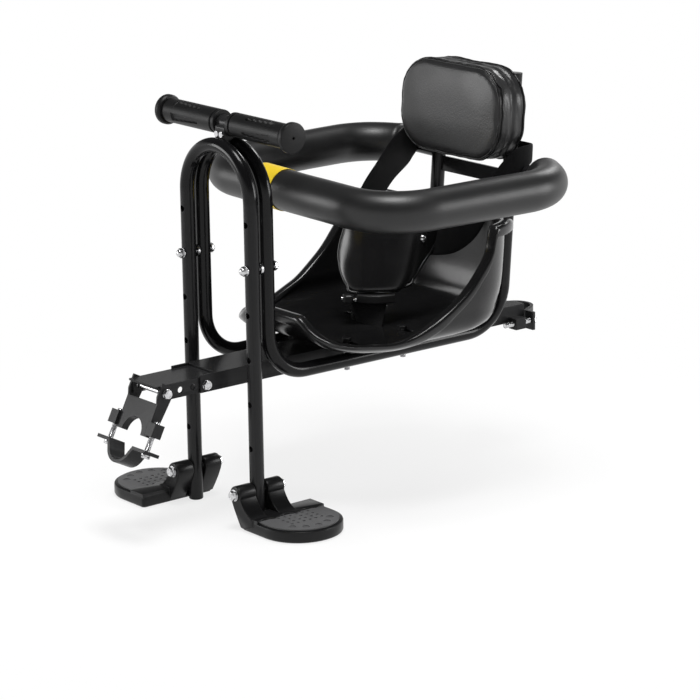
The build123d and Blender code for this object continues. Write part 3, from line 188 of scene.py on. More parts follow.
@dataclass(frozen=True)
class Finish:
    """One finish of the seat: a colour, a gloss and a surface texture."""

    name: str
    slot: str
    grain: Grain
    tint: tuple[float, float, float]
    tint_spread: float = 0.12
    rough: float = 0.5
    rough_spread: float = 0.08
    metal: float = 0.0
    scale: float = 600.0
    bump: float = 0.2
    depth_mm: float = 0.15
    specular: float = 0.5
    sheen: float = 0.0
    edge: float = 0.0
    round_mm: float = 0.0

    def material(self) -> bpy.types.Material:
        """Builds the finish's material once.

        Returns:
            The material, shared by all pieces with this finish.
        """
        known = bpy.data.materials.get(self.name)
        if known is not None:
            return known
        made = bpy.data.materials.new(self.name)
        graph = Graph(made)
        place = graph.node("ShaderNodeTexCoord").outputs["Object"]
        mottle = graph.node("ShaderNodeTexNoise", Vector=place, Scale=CLOUD_SCALE, Detail=5.0, Roughness=0.6)
        cloud = mottle.outputs["Fac"]
        low, high = ([part * (1 + way * self.tint_spread) for part in self.tint] for way in (-1, 1))
        colour = graph.ramp(cloud, zip(CLOUD_STOPS, (low, high)))
        if self.edge:
            colour = self.worn_edges(graph, colour)
        gloss = graph.node("ShaderNodeMapRange", Value=cloud, To_Min=self.rough - self.rough_spread,
                           To_Max=self.rough + self.rough_spread)
        bump = graph.node("ShaderNodeBump", Height=self.height(graph, place), Strength=self.bump,
                          Distance=self.depth_mm * MM)
        if self.round_mm:
            eased = graph.node("ShaderNodeBevel", samples=BEVEL_SAMPLES, Radius=self.round_mm * MM)
            graph.feed(bump.inputs["Normal"], eased.outputs["Normal"])
        shader = graph.node("ShaderNodeBsdfPrincipled", Base_Color=colour, Metallic=self.metal,
                            Roughness=gloss.outputs["Result"], Specular_IOR_Level=self.specular,
                            Sheen_Weight=self.sheen, Normal=bump.outputs["Normal"])
        graph.show(shader.outputs["BSDF"])
        return made

    def worn_edges(self, graph: Graph, colour: Socket) -> Socket:
        """Lightens the colour where the surface turns over an edge.

        Args:
            graph: The material's graph.
            colour: The colour before wear.

        Returns:
            The colour with wear.
        """
        turn = graph.node("ShaderNodeNewGeometry").outputs["Pointiness"]
        worn = graph.ramp(turn, zip(EDGE_STOPS, ((0, 0, 0), (1, 1, 1))))
        bare = (*(min(1.0, part * 4 + 0.05) for part in self.tint), 1.0)
        mix = graph.node("ShaderNodeMix", data_type="RGBA", Factor=graph.reckon("MULTIPLY", worn, self.edge), A=colour,
                         B=bare)
        return mix.outputs["Result"]

    def height(self, graph: Graph, place: Socket) -> Socket:
        """Adds the nodes of the finish's surface texture.

        Args:
            graph: The material's graph.
            place: Coordinates in metres.

        Returns:
            The height of the surface.
        """
        if self.grain is Grain.WEBBING:
            return self.weave(graph)
        if self.grain in (Grain.LEATHERETTE, Grain.FOAM):
            soft = {"feature": "SMOOTH_F1", "Smoothness": 0.6} if self.grain is Grain.LEATHERETTE else {}
            cells = graph.node("ShaderNodeTexVoronoi", Vector=place, Scale=self.scale, **soft)
            return cells.outputs["Distance"]
        if self.grain is Grain.ZINC:
            place = graph.node("ShaderNodeMapping", Vector=place, Scale=(1.0, 0.15, 1.0)).outputs["Vector"]
        peel = graph.node("ShaderNodeTexNoise", Vector=place, Scale=self.scale, Detail=3.0, Roughness=0.55)
        return peel.outputs["Fac"]

    def weave(self, graph: Graph) -> Socket:
        """Adds a plain weave that follows a strap's own length and width.

        Args:
            graph: The material's graph.

        Returns:
            The height of the threads.
        """
        place = graph.node("ShaderNodeTexCoord").outputs["UV"]
        threads = [graph.node("ShaderNodeTexWave", wave_type="BANDS", bands_direction=way, Vector=place,
                              Scale=self.scale * share).outputs["Fac"] for way, share in (("X", 1.0), ("Y", 0.7))]
        return graph.reckon("MULTIPLY", *threads)


GLOSS_BLACK = Finish("gloss_black_paint", "black_tube", Grain.PAINT, (0.004, 0.004, 0.0044), rough=0.15,
                     rough_spread=0.05, scale=350.0, bump=0.04, depth_mm=0.08, specular=0.2, edge=0.25, round_mm=0.6)
SHEET_BLACK = Finish("satin_black_sheet", "black_sheet", Grain.PAINT, (0.004, 0.004, 0.0044), rough=0.24,
                     rough_spread=0.07, scale=420.0, bump=0.08, depth_mm=0.08, specular=0.12, edge=0.3, round_mm=0.8)
BRIGHT_ZINC = Finish("bright_zinc", "zinc", Grain.ZINC, (0.62, 0.62, 0.63), rough=0.22, rough_spread=0.1, metal=1.0,
                     scale=900.0, bump=0.12, depth_mm=0.05, round_mm=0.3)
GUARD_FOAM = Finish("guard_foam_skin", "foam", Grain.FOAM, (0.011, 0.011, 0.0113), rough=0.4, rough_spread=0.06,
                    scale=750.0, bump=0.3, depth_mm=0.2, specular=0.5)
GRIP_RUBBER = Finish("ribbed_grip_rubber", "grip_rubber", Grain.RUBBER, (0.009, 0.009, 0.0093), rough=0.42,
                     scale=500.0, bump=0.2, depth_mm=0.12, specular=0.18)
SHELL_PLASTIC = Finish("glossy_shell_moulding", "shell_plastic", Grain.MOULDED, (0.007, 0.007, 0.0073), rough=0.2,
                       rough_spread=0.05, scale=900.0, bump=0.06, depth_mm=0.1, specular=0.4, edge=0.15, round_mm=1.2)
BLACK_PLASTIC = Finish("black_moulding", "black_plastic", Grain.MOULDED, (0.004, 0.004, 0.0043), rough=0.3,
                       scale=800.0, bump=0.2, depth_mm=0.12, specular=0.2, edge=0.25, round_mm=1.0)
TREAD_RUBBER = Finish("grey_tread_rubber", "tread_rubber", Grain.RUBBER, (0.105, 0.105, 0.107), rough=0.55,
                      scale=600.0, bump=0.25, depth_mm=0.15, specular=0.3, round_mm=0.5)
LEATHERETTE = Finish("black_leatherette", "cover", Grain.LEATHERETTE, (0.019, 0.019, 0.0195), rough=0.36,
                     rough_spread=0.08, scale=620.0, bump=0.4, depth_mm=0.25, specular=0.4)
WEBBING = Finish("black_webbing", "webbing", Grain.WEBBING, (0.004, 0.004, 0.0044), rough=0.7, scale=0.26, bump=0.5,
                 depth_mm=0.3, specular=0.12, sheen=0.02)
LEATHERETTE_SMOOTH = Finish("smooth_leatherette", "cover", Grain.LEATHERETTE, (0.006, 0.006, 0.0064), rough=0.24,
                            rough_spread=0.06, scale=900.0, bump=0.2, depth_mm=0.12, specular=0.45)
PIPING = Finish("piping_leatherette", "cover", Grain.LEATHERETTE, (0.008, 0.008, 0.0083), rough=0.3, scale=900.0,
                bump=0.15, depth_mm=0.1, specular=0.3)
YELLOW_WRAP = Finish("yellow_wrap", "band", Grain.WRAP, (0.78, 0.55, 0.015), tint_spread=0.05, rough=0.45, scale=300.0,
                     bump=0.1, depth_mm=0.1)


@dataclass
class Studio:
    """Floor, light and camera of the photograph."""

    azimuth: float = 51.262
    elevation: float = 15.240
    roll: float = -0.839
    focal_px: float = 3000.0
    image_px: float = 700.0
    aim: tuple[float, float, float] = (0.0, -0.405, 0.115)
    aim_px: tuple[float, float] = (214.164, 261.839)
    aim_depth: float = 3.00176
    world_light: float = 0.32
    near_white: float = 0.75
    ceiling: float = 0.06
    horizon: tuple[float, float] = (0.05, 0.4)
    floor_side: float = 30.0
    floor_gap: float = 0.0005
    floor_tint: Point = (0.93, 0.93, 0.93, 1.0)
    floor_rough: float = 0.9
    floor_middle: Point = (0.0, -0.35)
    floor_fade: tuple[float, float] = (0.1, 0.75)
    sensor_mm: float = 36.0
    clip_end: float = 100.0
    boxes: tuple[tuple[str, Point, Point, float, float], ...] = (
        ("overhead", (0.3, -0.4, 2.3), (0.0, -0.25, 0.05), 0.8, 40.0),
        ("left_box", (-1.5, -2.1, 0.55), (0.0, -0.3, 0.05), 0.9, 20.0),
        ("right_box", (1.6, 1.4, 0.6), (0.0, -0.25, 0.05), 0.9, 22.0),
        ("rear_box", (-0.9, 2.0, 1.5), (0.0, -0.2, 0.1), 0.6, 12.0))

    def build(self) -> None:
        """Sets up the whole studio."""
        bpy.context.scene.view_settings.view_transform = "Standard"
        self.camera()
        self.world()
        self.floor()
        for box in self.boxes:
            self.lamp(*box)

    def camera(self) -> None:
        """Places the camera where the photograph's was."""
        az, el, roll = (math.radians(v) for v in (self.azimuth, self.elevation, self.roll))
        back = Vector((math.sin(az) * math.cos(el), -math.cos(az) * math.cos(el), math.sin(el)))
        right = Vector((math.cos(az), math.sin(az), 0.0))
        up = right.cross(-back)
        right, up = right * math.cos(roll) + up * math.sin(roll), up * math.cos(roll) - right * math.sin(roll)
        half = self.image_px / 2
        across = (self.aim_px[0] - half) / self.focal_px * self.aim_depth
        down = (self.aim_px[1] - half) / self.focal_px * self.aim_depth
        place = Vector(self.aim) - right * across + up * down + back * self.aim_depth
        data = bpy.data.cameras.new("photo_camera")
        data.sensor_width = self.sensor_mm
        data.lens = self.focal_px / self.image_px * data.sensor_width
        data.clip_end = self.clip_end
        camera = bpy.data.objects.new("photo_camera", data)
        basis = Matrix((right, up, back)).transposed().to_4x4()
        camera.matrix_world = Matrix.Translation(place) @ basis
        bpy.context.scene.collection.objects.link(camera)
        bpy.context.scene.camera = camera

    def world(self) -> None:
        """Makes a surround that is white up to the ceiling, as seen and mirrored, and a dimmer one for light."""
        world = bpy.data.worlds.new("studio")
        graph = Graph(world, "ShaderNodeOutputWorld")
        sight = graph.node("ShaderNodeTexCoord").outputs["Generated"]
        rise = graph.node("ShaderNodeSeparateXYZ", Vector=sight).outputs["Z"]
        fade = graph.node("ShaderNodeMapRange", interpolation_type="SMOOTHSTEP", Value=rise,
                          From_Min=self.horizon[0], From_Max=self.horizon[1], To_Min=1.0, To_Max=self.ceiling)
        light, seen = (graph.node("ShaderNodeBackground", Color=WHITE, Strength=strength).outputs["Background"]
                       for strength in (self.world_light, fade.outputs["Result"]))
        graph.show_mix(self.seen_rays(graph), light, seen)
        bpy.context.scene.world = world

    def seen_rays(self, graph: Graph) -> Socket:
        """Adds nodes that tell the camera's, mirrored and see-through rays from those of light.

        Args:
            graph: The graph to add to.

        Returns:
            1 for a ray that shows its surface in the picture.
        """
        rays = graph.node("ShaderNodeLightPath").outputs
        share = graph.reckon("MAXIMUM", rays["Is Camera Ray"], rays["Is Glossy Ray"])
        return graph.reckon("MAXIMUM", share, rays["Is Transmission Ray"])

    def floor(self) -> None:
        """Lays a plain pale floor under the seat's lowest point that turns white away from it."""
        low = CAD_BOX[0][2] - self.floor_gap
        side = self.floor_side
        mesh = bpy.data.meshes.new("floor")
        mesh.from_pydata([(-side, -side, low), (side, -side, low), (side, side, low), (-side, side, low)], [],
                         [(0, 1, 2, 3)])
        floor = bpy.data.objects.new("floor", mesh)
        bpy.context.scene.collection.objects.link(floor)
        paper = bpy.data.materials.new("floor_paper")
        graph = Graph(paper)
        shader = graph.node("ShaderNodeBsdfPrincipled", Base_Color=self.floor_tint, Roughness=self.floor_rough)
        away = graph.node("ShaderNodeVectorMath", operation="DISTANCE")
        graph.feed(away.inputs[0], graph.node("ShaderNodeTexCoord").outputs["Object"])
        graph.feed(away.inputs[1], (*self.floor_middle, low))
        fade = graph.node("ShaderNodeMapRange", interpolation_type="SMOOTHSTEP", Value=away.outputs["Value"],
                          From_Min=self.floor_fade[0], From_Max=self.floor_fade[1], To_Min=self.near_white, To_Max=1.0)
        white = graph.node("ShaderNodeEmission", Color=WHITE, Strength=1.0)
        share = graph.reckon("MULTIPLY", fade.outputs["Result"], self.seen_rays(graph))
        graph.show_mix(share, shader.outputs["BSDF"], white.outputs["Emission"])
        mesh.materials.append(paper)

    def lamp(self, name: str, place: Point, target: Point, size: float, power: float) -> None:
        """Adds one square soft box.

        Args:
            name: The lamp's name.
            place: Where it hangs.
            target: What it points at.
            size: Its side in metres.
            power: Its power in watts.
        """
        data = bpy.data.lights.new(name, "AREA")
        data.size = size
        data.energy = power
        lamp = bpy.data.objects.new(name, data)
        lamp.location = place
        lamp.rotation_euler = (Vector(target) - Vector(place)).to_track_quat("-Z", "Y").to_euler()
        bpy.context.scene.collection.objects.link(lamp)


@dataclass
class CadDress:
    """Gives every CAD node the finish of its material slot."""

    finishes: tuple[Finish, ...] = (GLOSS_BLACK, SHEET_BLACK, BRIGHT_ZINC, GUARD_FOAM, YELLOW_WRAP, GRIP_RUBBER,
                                    BLACK_PLASTIC, SHELL_PLASTIC, TREAD_RUBBER, LEATHERETTE, WEBBING)

    def build(self) -> None:
        """Assigns the finishes."""
        by_slot = {finish.slot: finish for finish in self.finishes}
        slots = {entry["node"]: entry["material_slot"] for entry in frame["record"]["subparts"]}
        for name, node in frame["nodes"].items():
            finish = by_slot[slots[name]]
            node.data.materials.clear()
            node.data.materials.append(finish.material())
            LOG.info("node %s gets %s", name, finish.name)


def mm(*parts: float) -> Vector:
    """A point or direction given in millimetres."""
    return Vector(parts) * MM


def unit(value: float) -> float:
    """A value held between 0 and 1."""
    return min(1.0, max(0.0, value))


def circle(count: int) -> list[tuple[float, float]]:
    """Cosines and sines of even steps round a circle."""
    return [(math.cos(math.tau * k / count), math.sin(math.tau * k / count)) for k in range(count)]


def hermite(start: float, end: float, slopes: Sequence[float], run: float, s: float) -> float:
    """A value on the smooth curve between two others.

    Args:
        start: The first value.
        end: The last value.
        slopes: The curve's slopes at both.
        run: The distance between them.
        s: The share of the distance.

    Returns:
        The value there.
    """
    return (start * (2 * s ** 3 - 3 * s ** 2 + 1) + slopes[0] * run * (s ** 3 - 2 * s ** 2 + s)
            + end * (3 * s ** 2 - 2 * s ** 3) + slopes[1] * run * (s ** 3 - s ** 2))


def rounded_route(corners: Sequence[Vector], radii: Sequence[float], step: float) -> list[Vector]:
    """Walks straight runs joined by arcs.

    Args:
        corners: The route's corners, its two ends included.
        radii: The arc's radius at each inner corner.
        step: Distance between points, in metres.

    Returns:
        Points along the route.
    """
    points = [corners[0]]
    for before, corner, after, radius in zip(corners, corners[1:], corners[2:], radii):
        back, ahead = (before - corner).normalized(), (after - corner).normalized()
        half = back.angle(ahead) / 2
        middle = corner + (back + ahead).normalized() * (radius / math.sin(half))
        start, end = corner + back * (radius / math.tan(half)), corner + ahead * (radius / math.tan(half))
        points += straight(points[-1], start, step)
        turn = math.pi - 2 * half
        count = max(4, round(turn * radius / step))
        arm, axis = start - middle, (start - middle).cross(end - middle).normalized()
        points += [middle + Matrix.Rotation(turn * k / count, 3, axis) @ arm for k in range(1, count + 1)]
    return points + straight(points[-1], corners[-1], step)


def straight(start: Vector, end: Vector, step: float) -> list[Vector]:
    """Points after start on a straight run, the end included."""
    count = max(1, round((end - start).length / step))
    return [start.lerp(end, k / count) for k in range(1, count + 1)]


def smooth_line(points: Sequence[Vector], per_span: int) -> list[Vector]:
    """Runs a smooth line through points.

    Args:
        points: Points that the line goes through.
        per_span: Steps between one point and the next.

    Returns:
        Points along the line.
    """
    padded = [points[0] * 2 - points[1], *points, points[-1] * 2 - points[-2]]
    line = []
    for a, b, c, d in zip(padded, padded[1:], padded[2:], padded[3:]):
        for k in range(per_span):
            t = k / per_span
            line.append(((b * 2) + (c - a) * t + (a * 2 - b * 5 + c * 4 - d) * t ** 2
                         + (b * 3 - a - c * 3 + d) * t ** 3) * 0.5)
    return line + [points[-1].copy()]


class Shape:
    """Points and faces of one piece, gathered ring by ring."""

    def __init__(self, name: str) -> None:
        """Starts an empty shape.

        Args:
            name: The piece's name.
        """
        self.name = name
        self.points: list[Vector] = []
        self.faces: list[tuple[int, ...]] = []
        self.uvs: list[tuple[float, float]] = []

    def rings(self, rings: Sequence[Sequence[Vector]], caps: bool = True,
              uvs: Sequence[Sequence[tuple[float, float]]] | None = None) -> None:
        """Joins closed rings of points with faces.

        Args:
            rings: Rings with the same number of points each.
            caps: Whether the first and last ring are closed by a face.
            uvs: Texture places of the points, in millimetres.
        """
        start, count = len(self.points), len(rings[0])
        for row, ring in enumerate(rings):
            self.points.extend(ring)
            self.uvs.extend(uvs[row] if uvs else [(0.0, 0.0)] * count)
        for row in range(len(rings) - 1):
            for column in range(count):
                a = start + row * count + column
                b = start + row * count + (column + 1) % count
                self.faces.append((a, b, b + count, a + count))
        if caps:
            last = start + (len(rings) - 1) * count
            self.faces.append(tuple(range(start + count - 1, start - 1, -1)))
            self.faces.append(tuple(range(last, last + count)))

    def turned(self, profile: Sequence[tuple[float, float]], origin: Vector, axis: Vector, sides: int = 32,
               flats: int = 0) -> None:
        """Turns a profile about an axis, or gives it flat sides.

        Args:
            profile: Distances along the axis and radii, in millimetres.
            origin: Where the axis starts.
            axis: The axis' direction.
            sides: Points round each ring.
            flats: Number of flat sides; a radius below zero in the profile is then across the flats.
        """
        axis = axis.normalized()
        side = axis.orthogonal().normalized()
        other = axis.cross(side)
        rings = []
        for along, radius in profile:
            ring = []
            for k in range(sides):
                angle = math.tau * k / sides
                reach = radius
                if radius < 0:
                    sector = math.tau / flats
                    reach = -radius / math.cos((angle % sector) - sector / 2)
                ring.append(origin + axis * along * MM
                            + (side * math.cos(angle) + other * math.sin(angle)) * reach * MM)
            rings.append(ring)
        self.rings(rings)

    def tube(self, path: Sequence[Vector], radius: float, sides: int = 10, closed: bool = False) -> None:
        """Runs a thin round tube along a path.

        Args:
            path: The tube's centre line.
            radius: Its radius in millimetres.
            sides: Points round it.
            closed: Whether the path joins up with itself.
        """
        rings = []
        count = len(path)
        side = None
        for k, point in enumerate(path):
            ahead = path[(k + 1) % count] if closed else path[min(k + 1, count - 1)]
            behind = path[k - 1] if closed or k else path[0]
            along = (ahead - behind).normalized()
            side = along.orthogonal().normalized() if side is None else (side - along * side.dot(along)).normalized()
            other = along.cross(side)
            rings.append([point + (side * c + other * s) * radius * MM for c, s in circle(sides)])
        if closed:
            rings.append(list(rings[0]))
        self.rings(rings, caps=not closed)

    def ribbon(self, low: Sequence[Vector], high: Sequence[Vector], thickness: float) -> None:
        """Runs a flat strap with soft edges between two edge lines.

        Args:
            low: Points of its lower edge.
            high: Points of its upper edge, as many.
            thickness: Its thickness in millimetres.
        """
        rings, places, travelled = [], [], 0.0
        path = [(a + b) / 2 for a, b in zip(low, high)]
        for k, point in enumerate(path):
            along = path[min(k + 1, len(path) - 1)] - path[max(k - 1, 0)]
            wide = (high[k] - low[k]) / 2
            thick = along.cross(wide).normalized()
            travelled += (point - path[max(k - 1, 0)]).length / MM
            ring, place = [], []
            for c, d in circle(RIBBON_SIDES):
                w = math.copysign(abs(c) ** RIBBON_EDGE[0], c)
                t = math.copysign(abs(d) ** RIBBON_EDGE[1], d) * thickness / 2 * MM
                ring.append(point + wide * w + thick * t)
                place.append((w * wide.length / MM, travelled))
            rings.append(ring)
            places.append(place)
        self.rings(rings, uvs=places)

    def piece(self, finish: Finish, nodes: Iterable[str] = (), sharp: float = SHARP_ANGLE,
              body: str = FRAME_BODY) -> bpy.types.Object:
        """Makes the piece's object, puts it on its body and hides the CAD nodes that it stands for.

        Args:
            finish: The piece's finish.
            nodes: CAD nodes that it stands for.
            sharp: Edges that turn by more than this angle look sharp.
            body: The body that it rides on.

        Returns:
            The piece's object.
        """
        made = self.loose(sharp)
        made.data.materials.append(finish.material())
        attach(made, body)
        for node in nodes:
            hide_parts(node)
        LOG.info("piece %s gets %s", self.name, finish.name)
        return made

    def loose(self, sharp: float = SHARP_ANGLE) -> bpy.types.Object:
        """Makes an object that rides on nothing yet.

        Args:
            sharp: Edges that turn by more than this angle look sharp.

        Returns:
            The object.
        """
        mesh = bpy.data.meshes.new(self.name)
        mesh.from_pydata(self.points, [], self.faces)
        layer = mesh.uv_layers.new(name="strap_places")
        for loop in mesh.loops:
            layer.data[loop.index].uv = self.uvs[loop.vertex_index]
        shape = bmesh.new()
        shape.from_mesh(mesh)
        bmesh.ops.recalc_face_normals(shape, faces=shape.faces)
        shape.to_mesh(mesh)
        shape.free()
        mesh.shade_smooth()
        mesh.set_sharp_from_angle(angle=math.radians(sharp))
        made = bpy.data.objects.new(self.name, mesh)
        bpy.context.scene.collection.objects.link(made)
        return made


LEAN = math.radians(4.7)
UPRIGHT_FOOT_Y = -73.5


def upright_y(height: float) -> float:
    """Y of the rear uprights' centre line at a height, in millimetres."""
    return UPRIGHT_FOOT_Y + math.tan(LEAN) * height


@dataclass
class SeatShell:
    """Moulded bucket seat with a raised nose, dips for the legs, side wings and a rolled rim."""

    front: float = -327.0
    rear: float = -82.0
    half_width: float = 118.0
    bottom: float = 12.0
    wall: float = 3.5
    levels: tuple[tuple[float, ...], ...] = ((0.0, 36.0, 44.0, 34.0, 52.0), (10.0, 16.0, 22.0, 12.0, 62.0),
                                             (34.0, 3.0, 9.0, 3.0, 68.0), (80.0, 0.0, 2.0, 0.0, 70.0),
                                             (141.5, 0.0, 0.0, 0.0, 70.0))
    side_rim: tuple[tuple[float, float], ...] = ((-327.0, 54.0), (-272.0, 28.0), (-216.3, 42.6), (-179.7, 65.8),
                                                 (-159.0, 86.6), (-143.1, 111.0), (-137.0, 144.0), (-82.0, 150.0))
    wing_top: float = 131.0
    back_fall: float = 6.0
    dip_x: float = 100.0
    dip_r: float = 72.0
    dip_low: float = 22.0
    dip_rise: float = 9.0
    dip_run: float = 97.5
    dip_end: float = -262.0
    rolled: tuple[tuple[float, float], ...] = (
        (-3.5, -4.5), (-3.4, -2.2), (-2.6, -0.7), (-1.0, 0.0), (1.5, 0.2), (4.5, -0.2), (7.0, -1.2), (8.6, -3.0),
        (9.1, -5.5), (9.1, -10.5), (8.6, -11.8), (7.2, -12.0), (6.3, -11.0), (6.0, -6.5), (4.5, -4.8), (1.5, -4.2),
        (0.0, -5.2))
    slot_x: float = 45.0
    slot_ys: tuple[float, ...] = (-268.0, -193.0)
    slot_length: float = 24.0
    slot_width: float = 6.6
    strap_slot: Point = (38.6, 3.6)
    strap_y: float = -206.0
    cutter_span: Point = (-6.0, 12.0)
    flat_share: float = 0.38
    fall_from: float = -112.0
    fall_run: float = 30.0
    wing_blend: float = 9.0
    dip_blend: float = 6.0
    around: int = 240
    first_top: float = 60.0
    tries: int = 12
    floor_shares: tuple[float, ...] = (0.02, 0.3, 0.6, 0.85)
    rows: int = 15
    row_power: float = 1.6
    sharp: float = 50.0

    def sizes(self, height: float, floor: float) -> tuple[float, ...]:
        """The plan's insets and corner radius at a height.

        Args:
            height: Height in millimetres.
            floor: Height of the lowest level.

        Returns:
            Insets of the front, the rear and the sides, and the corners' radius.
        """
        knots = [(max(floor, self.bottom + level[0]), level[1:]) for level in self.levels]
        height = min(max(height, knots[0][0]), knots[-1][0])
        span = next(k for k in range(len(knots) - 1) if height <= knots[k + 1][0])
        (low, a), (high, b) = knots[span], knots[span + 1]
        share = (height - low) / (high - low)
        found = []
        for k, (start, end) in enumerate(zip(a, b)):
            slope = (end - start) / (high - low)
            before, after = slope, slope
            if span > 0:
                before = (slope + (start - knots[span - 1][1][k]) / (low - knots[span - 1][0])) / 2
            if span < len(knots) - 2:
                after = (slope + (knots[span + 2][1][k] - end) / (knots[span + 2][0] - high)) / 2
            found.append(hermite(start, end, (before, after), high - low, share))
        return tuple(found)

    def plan(self, place: float, height: float, grow: float, floor: float) -> tuple[float, float]:
        """A point of the shell's outline.

        Args:
            place: Place round the outline, 0 to 4, one for each straight side and the corner after it.
            height: Height in millimetres.
            grow: How far outside the outer wall.
            floor: Height of the lowest level.

        Returns:
            The point's x and y.
        """
        front_in, rear_in, side_in, corner = self.sizes(height, floor)
        front, rear = self.front + front_in - grow, self.rear - rear_in + grow
        half, radius = self.half_width - side_in + grow, corner + grow
        flat_x, flat_y = half - radius, (rear - front) / 2 - radius
        middle = (front + rear) / 2
        side, share = int(place) % 4, place - int(place)
        flats, arcs = ((flat_y, flat_x), (flat_x, flat_y))[side % 2], self.flat_share
        if share < arcs:
            x, y = (half if side % 2 == 0 else (rear - front) / 2), flats[0] * (2 * share / arcs - 1)
        else:
            angle = (share - arcs) / (1 - arcs) * math.pi / 2
            x, y = flats[1] + radius * math.cos(angle), flats[0] + radius * math.sin(angle)
        for _ in range(side):
            x, y = -y, x
        return x, y + middle

    def rim(self, x: float, y: float) -> float:
        """Height of the rim over a point of the plan.

        Args:
            x: Distance from the middle plane.
            y: Place along the seat.

        Returns:
            The height.
        """
        line = self.side_rim
        span = next((k for k in range(len(line) - 1) if y <= line[k + 1][0]), len(line) - 2)
        points = [Vector((*line[min(max(span + k, 0), len(line) - 1)], 0.0)) for k in (-1, 0, 1, 2)]
        run = points[2].x - points[1].x
        slopes = [(points[k + 1].y - points[k - 1].y) / (points[k + 1].x - points[k - 1].x) for k in (1, 2)]
        side = hermite(points[1].y, points[2].y, slopes, run, unit((y - points[1].x) / run))
        fall = unit((y - self.fall_from) / self.fall_run)
        height = softer_low(side, self.wing_top - self.back_fall * fall * fall * (3 - 2 * fall), self.wing_blend)
        away = abs(x) - self.dip_x
        if y <= self.dip_end and abs(away) < self.dip_r:
            low = self.dip_low + (y - self.dip_end + self.dip_run) * self.dip_rise / self.dip_run
            dip = low + self.dip_r - math.sqrt(self.dip_r ** 2 - away ** 2)
            height = softer_low(height, dip, self.dip_blend)
        return height

    def build(self) -> None:
        """Makes the shell with its slots."""
        columns = []
        for k in range(self.around):
            place, top = 4.0 * k / self.around, self.first_top
            for _ in range(self.tries):
                top = (top + self.rim(*self.plan(place, top, 0.0, self.bottom))) / 2
            columns.append(self.column(place, top))
        shell = Shape("seat_bucket")
        shell.rings([list(ring) for ring in zip(*columns)])
        made = shell.piece(SHELL_PLASTIC, ("seat_shell",), sharp=self.sharp)
        for number, cutter in enumerate(self.cutters()):
            cut = made.modifiers.new(f"slot_{number}", "BOOLEAN")
            cut.operation, cut.solver, cut.object = "DIFFERENCE", "EXACT", cutter
            apply_modifiers(made)
            bpy.data.objects.remove(cutter)
        made.data.shade_smooth()
        made.data.set_sharp_from_angle(angle=math.radians(self.sharp))

    def column(self, place: float, top: float) -> list[Vector]:
        """One strip of the shell, from the middle of its inside over the rim to the middle of its underside.

        Args:
            place: Place round the outline.
            top: Height of the rim there.

        Returns:
            The strip's points.
        """
        inner = self.face(place, self.bottom + self.wall, top + self.rolled[0][1], -self.wall)
        rim = [mm(*self.plan(place, top + rise, grow, self.bottom), top + rise) for grow, rise in self.rolled]
        outer = self.face(place, self.bottom, top + self.rolled[-1][1], 0.0)
        return inner + rim + outer[::-1]

    def face(self, place: float, floor: float, end: float, grow: float) -> list[Vector]:
        """The part of a strip that lies on one face, from the middle of its floor up its wall.

        Args:
            place: Place round the outline.
            floor: Height of the face's floor.
            end: Height where the rolled rim takes over.
            grow: How far the face lies outside the outer wall.

        Returns:
            The points.
        """
        middle = (self.front + self.rear) / 2
        x, y = self.plan(place, floor, grow, floor)
        strip = [mm(x * s, middle + (y - middle) * s, floor) for s in self.floor_shares]
        for row in range(self.rows):
            height = floor + (end - floor) * (row / self.rows) ** self.row_power
            strip.append(mm(*self.plan(place, height, grow, floor), height))
        return strip

    def cutters(self) -> Iterable[bpy.types.Object]:
        """Bodies of the slots for the bolts and the crotch strap.

        Returns:
            One body at a time.
        """
        slots = [(side * self.slot_x, y, self.slot_length, self.slot_width) for y in self.slot_ys for side in (-1, 1)]
        slots.append((0.0, self.strap_y, *self.strap_slot))
        for number, (x, y, length, width) in enumerate(slots):
            slot = Shape(f"slot_cutter_{number}")
            ring = [(x + math.copysign((length - width) / 2, c) + width / 2 * c, y + width / 2 * s)
                    for c, s in circle(24)]
            slot.rings([[mm(*p, self.bottom + z) for p in ring] for z in self.cutter_span])
            yield slot.loose()


def softer_low(a: float, b: float, blend: float) -> float:
    """The lower of two values, blended where they are close."""
    near = max(blend - abs(a - b), 0.0) / blend
    return min(a, b) - near * near * blend / 4


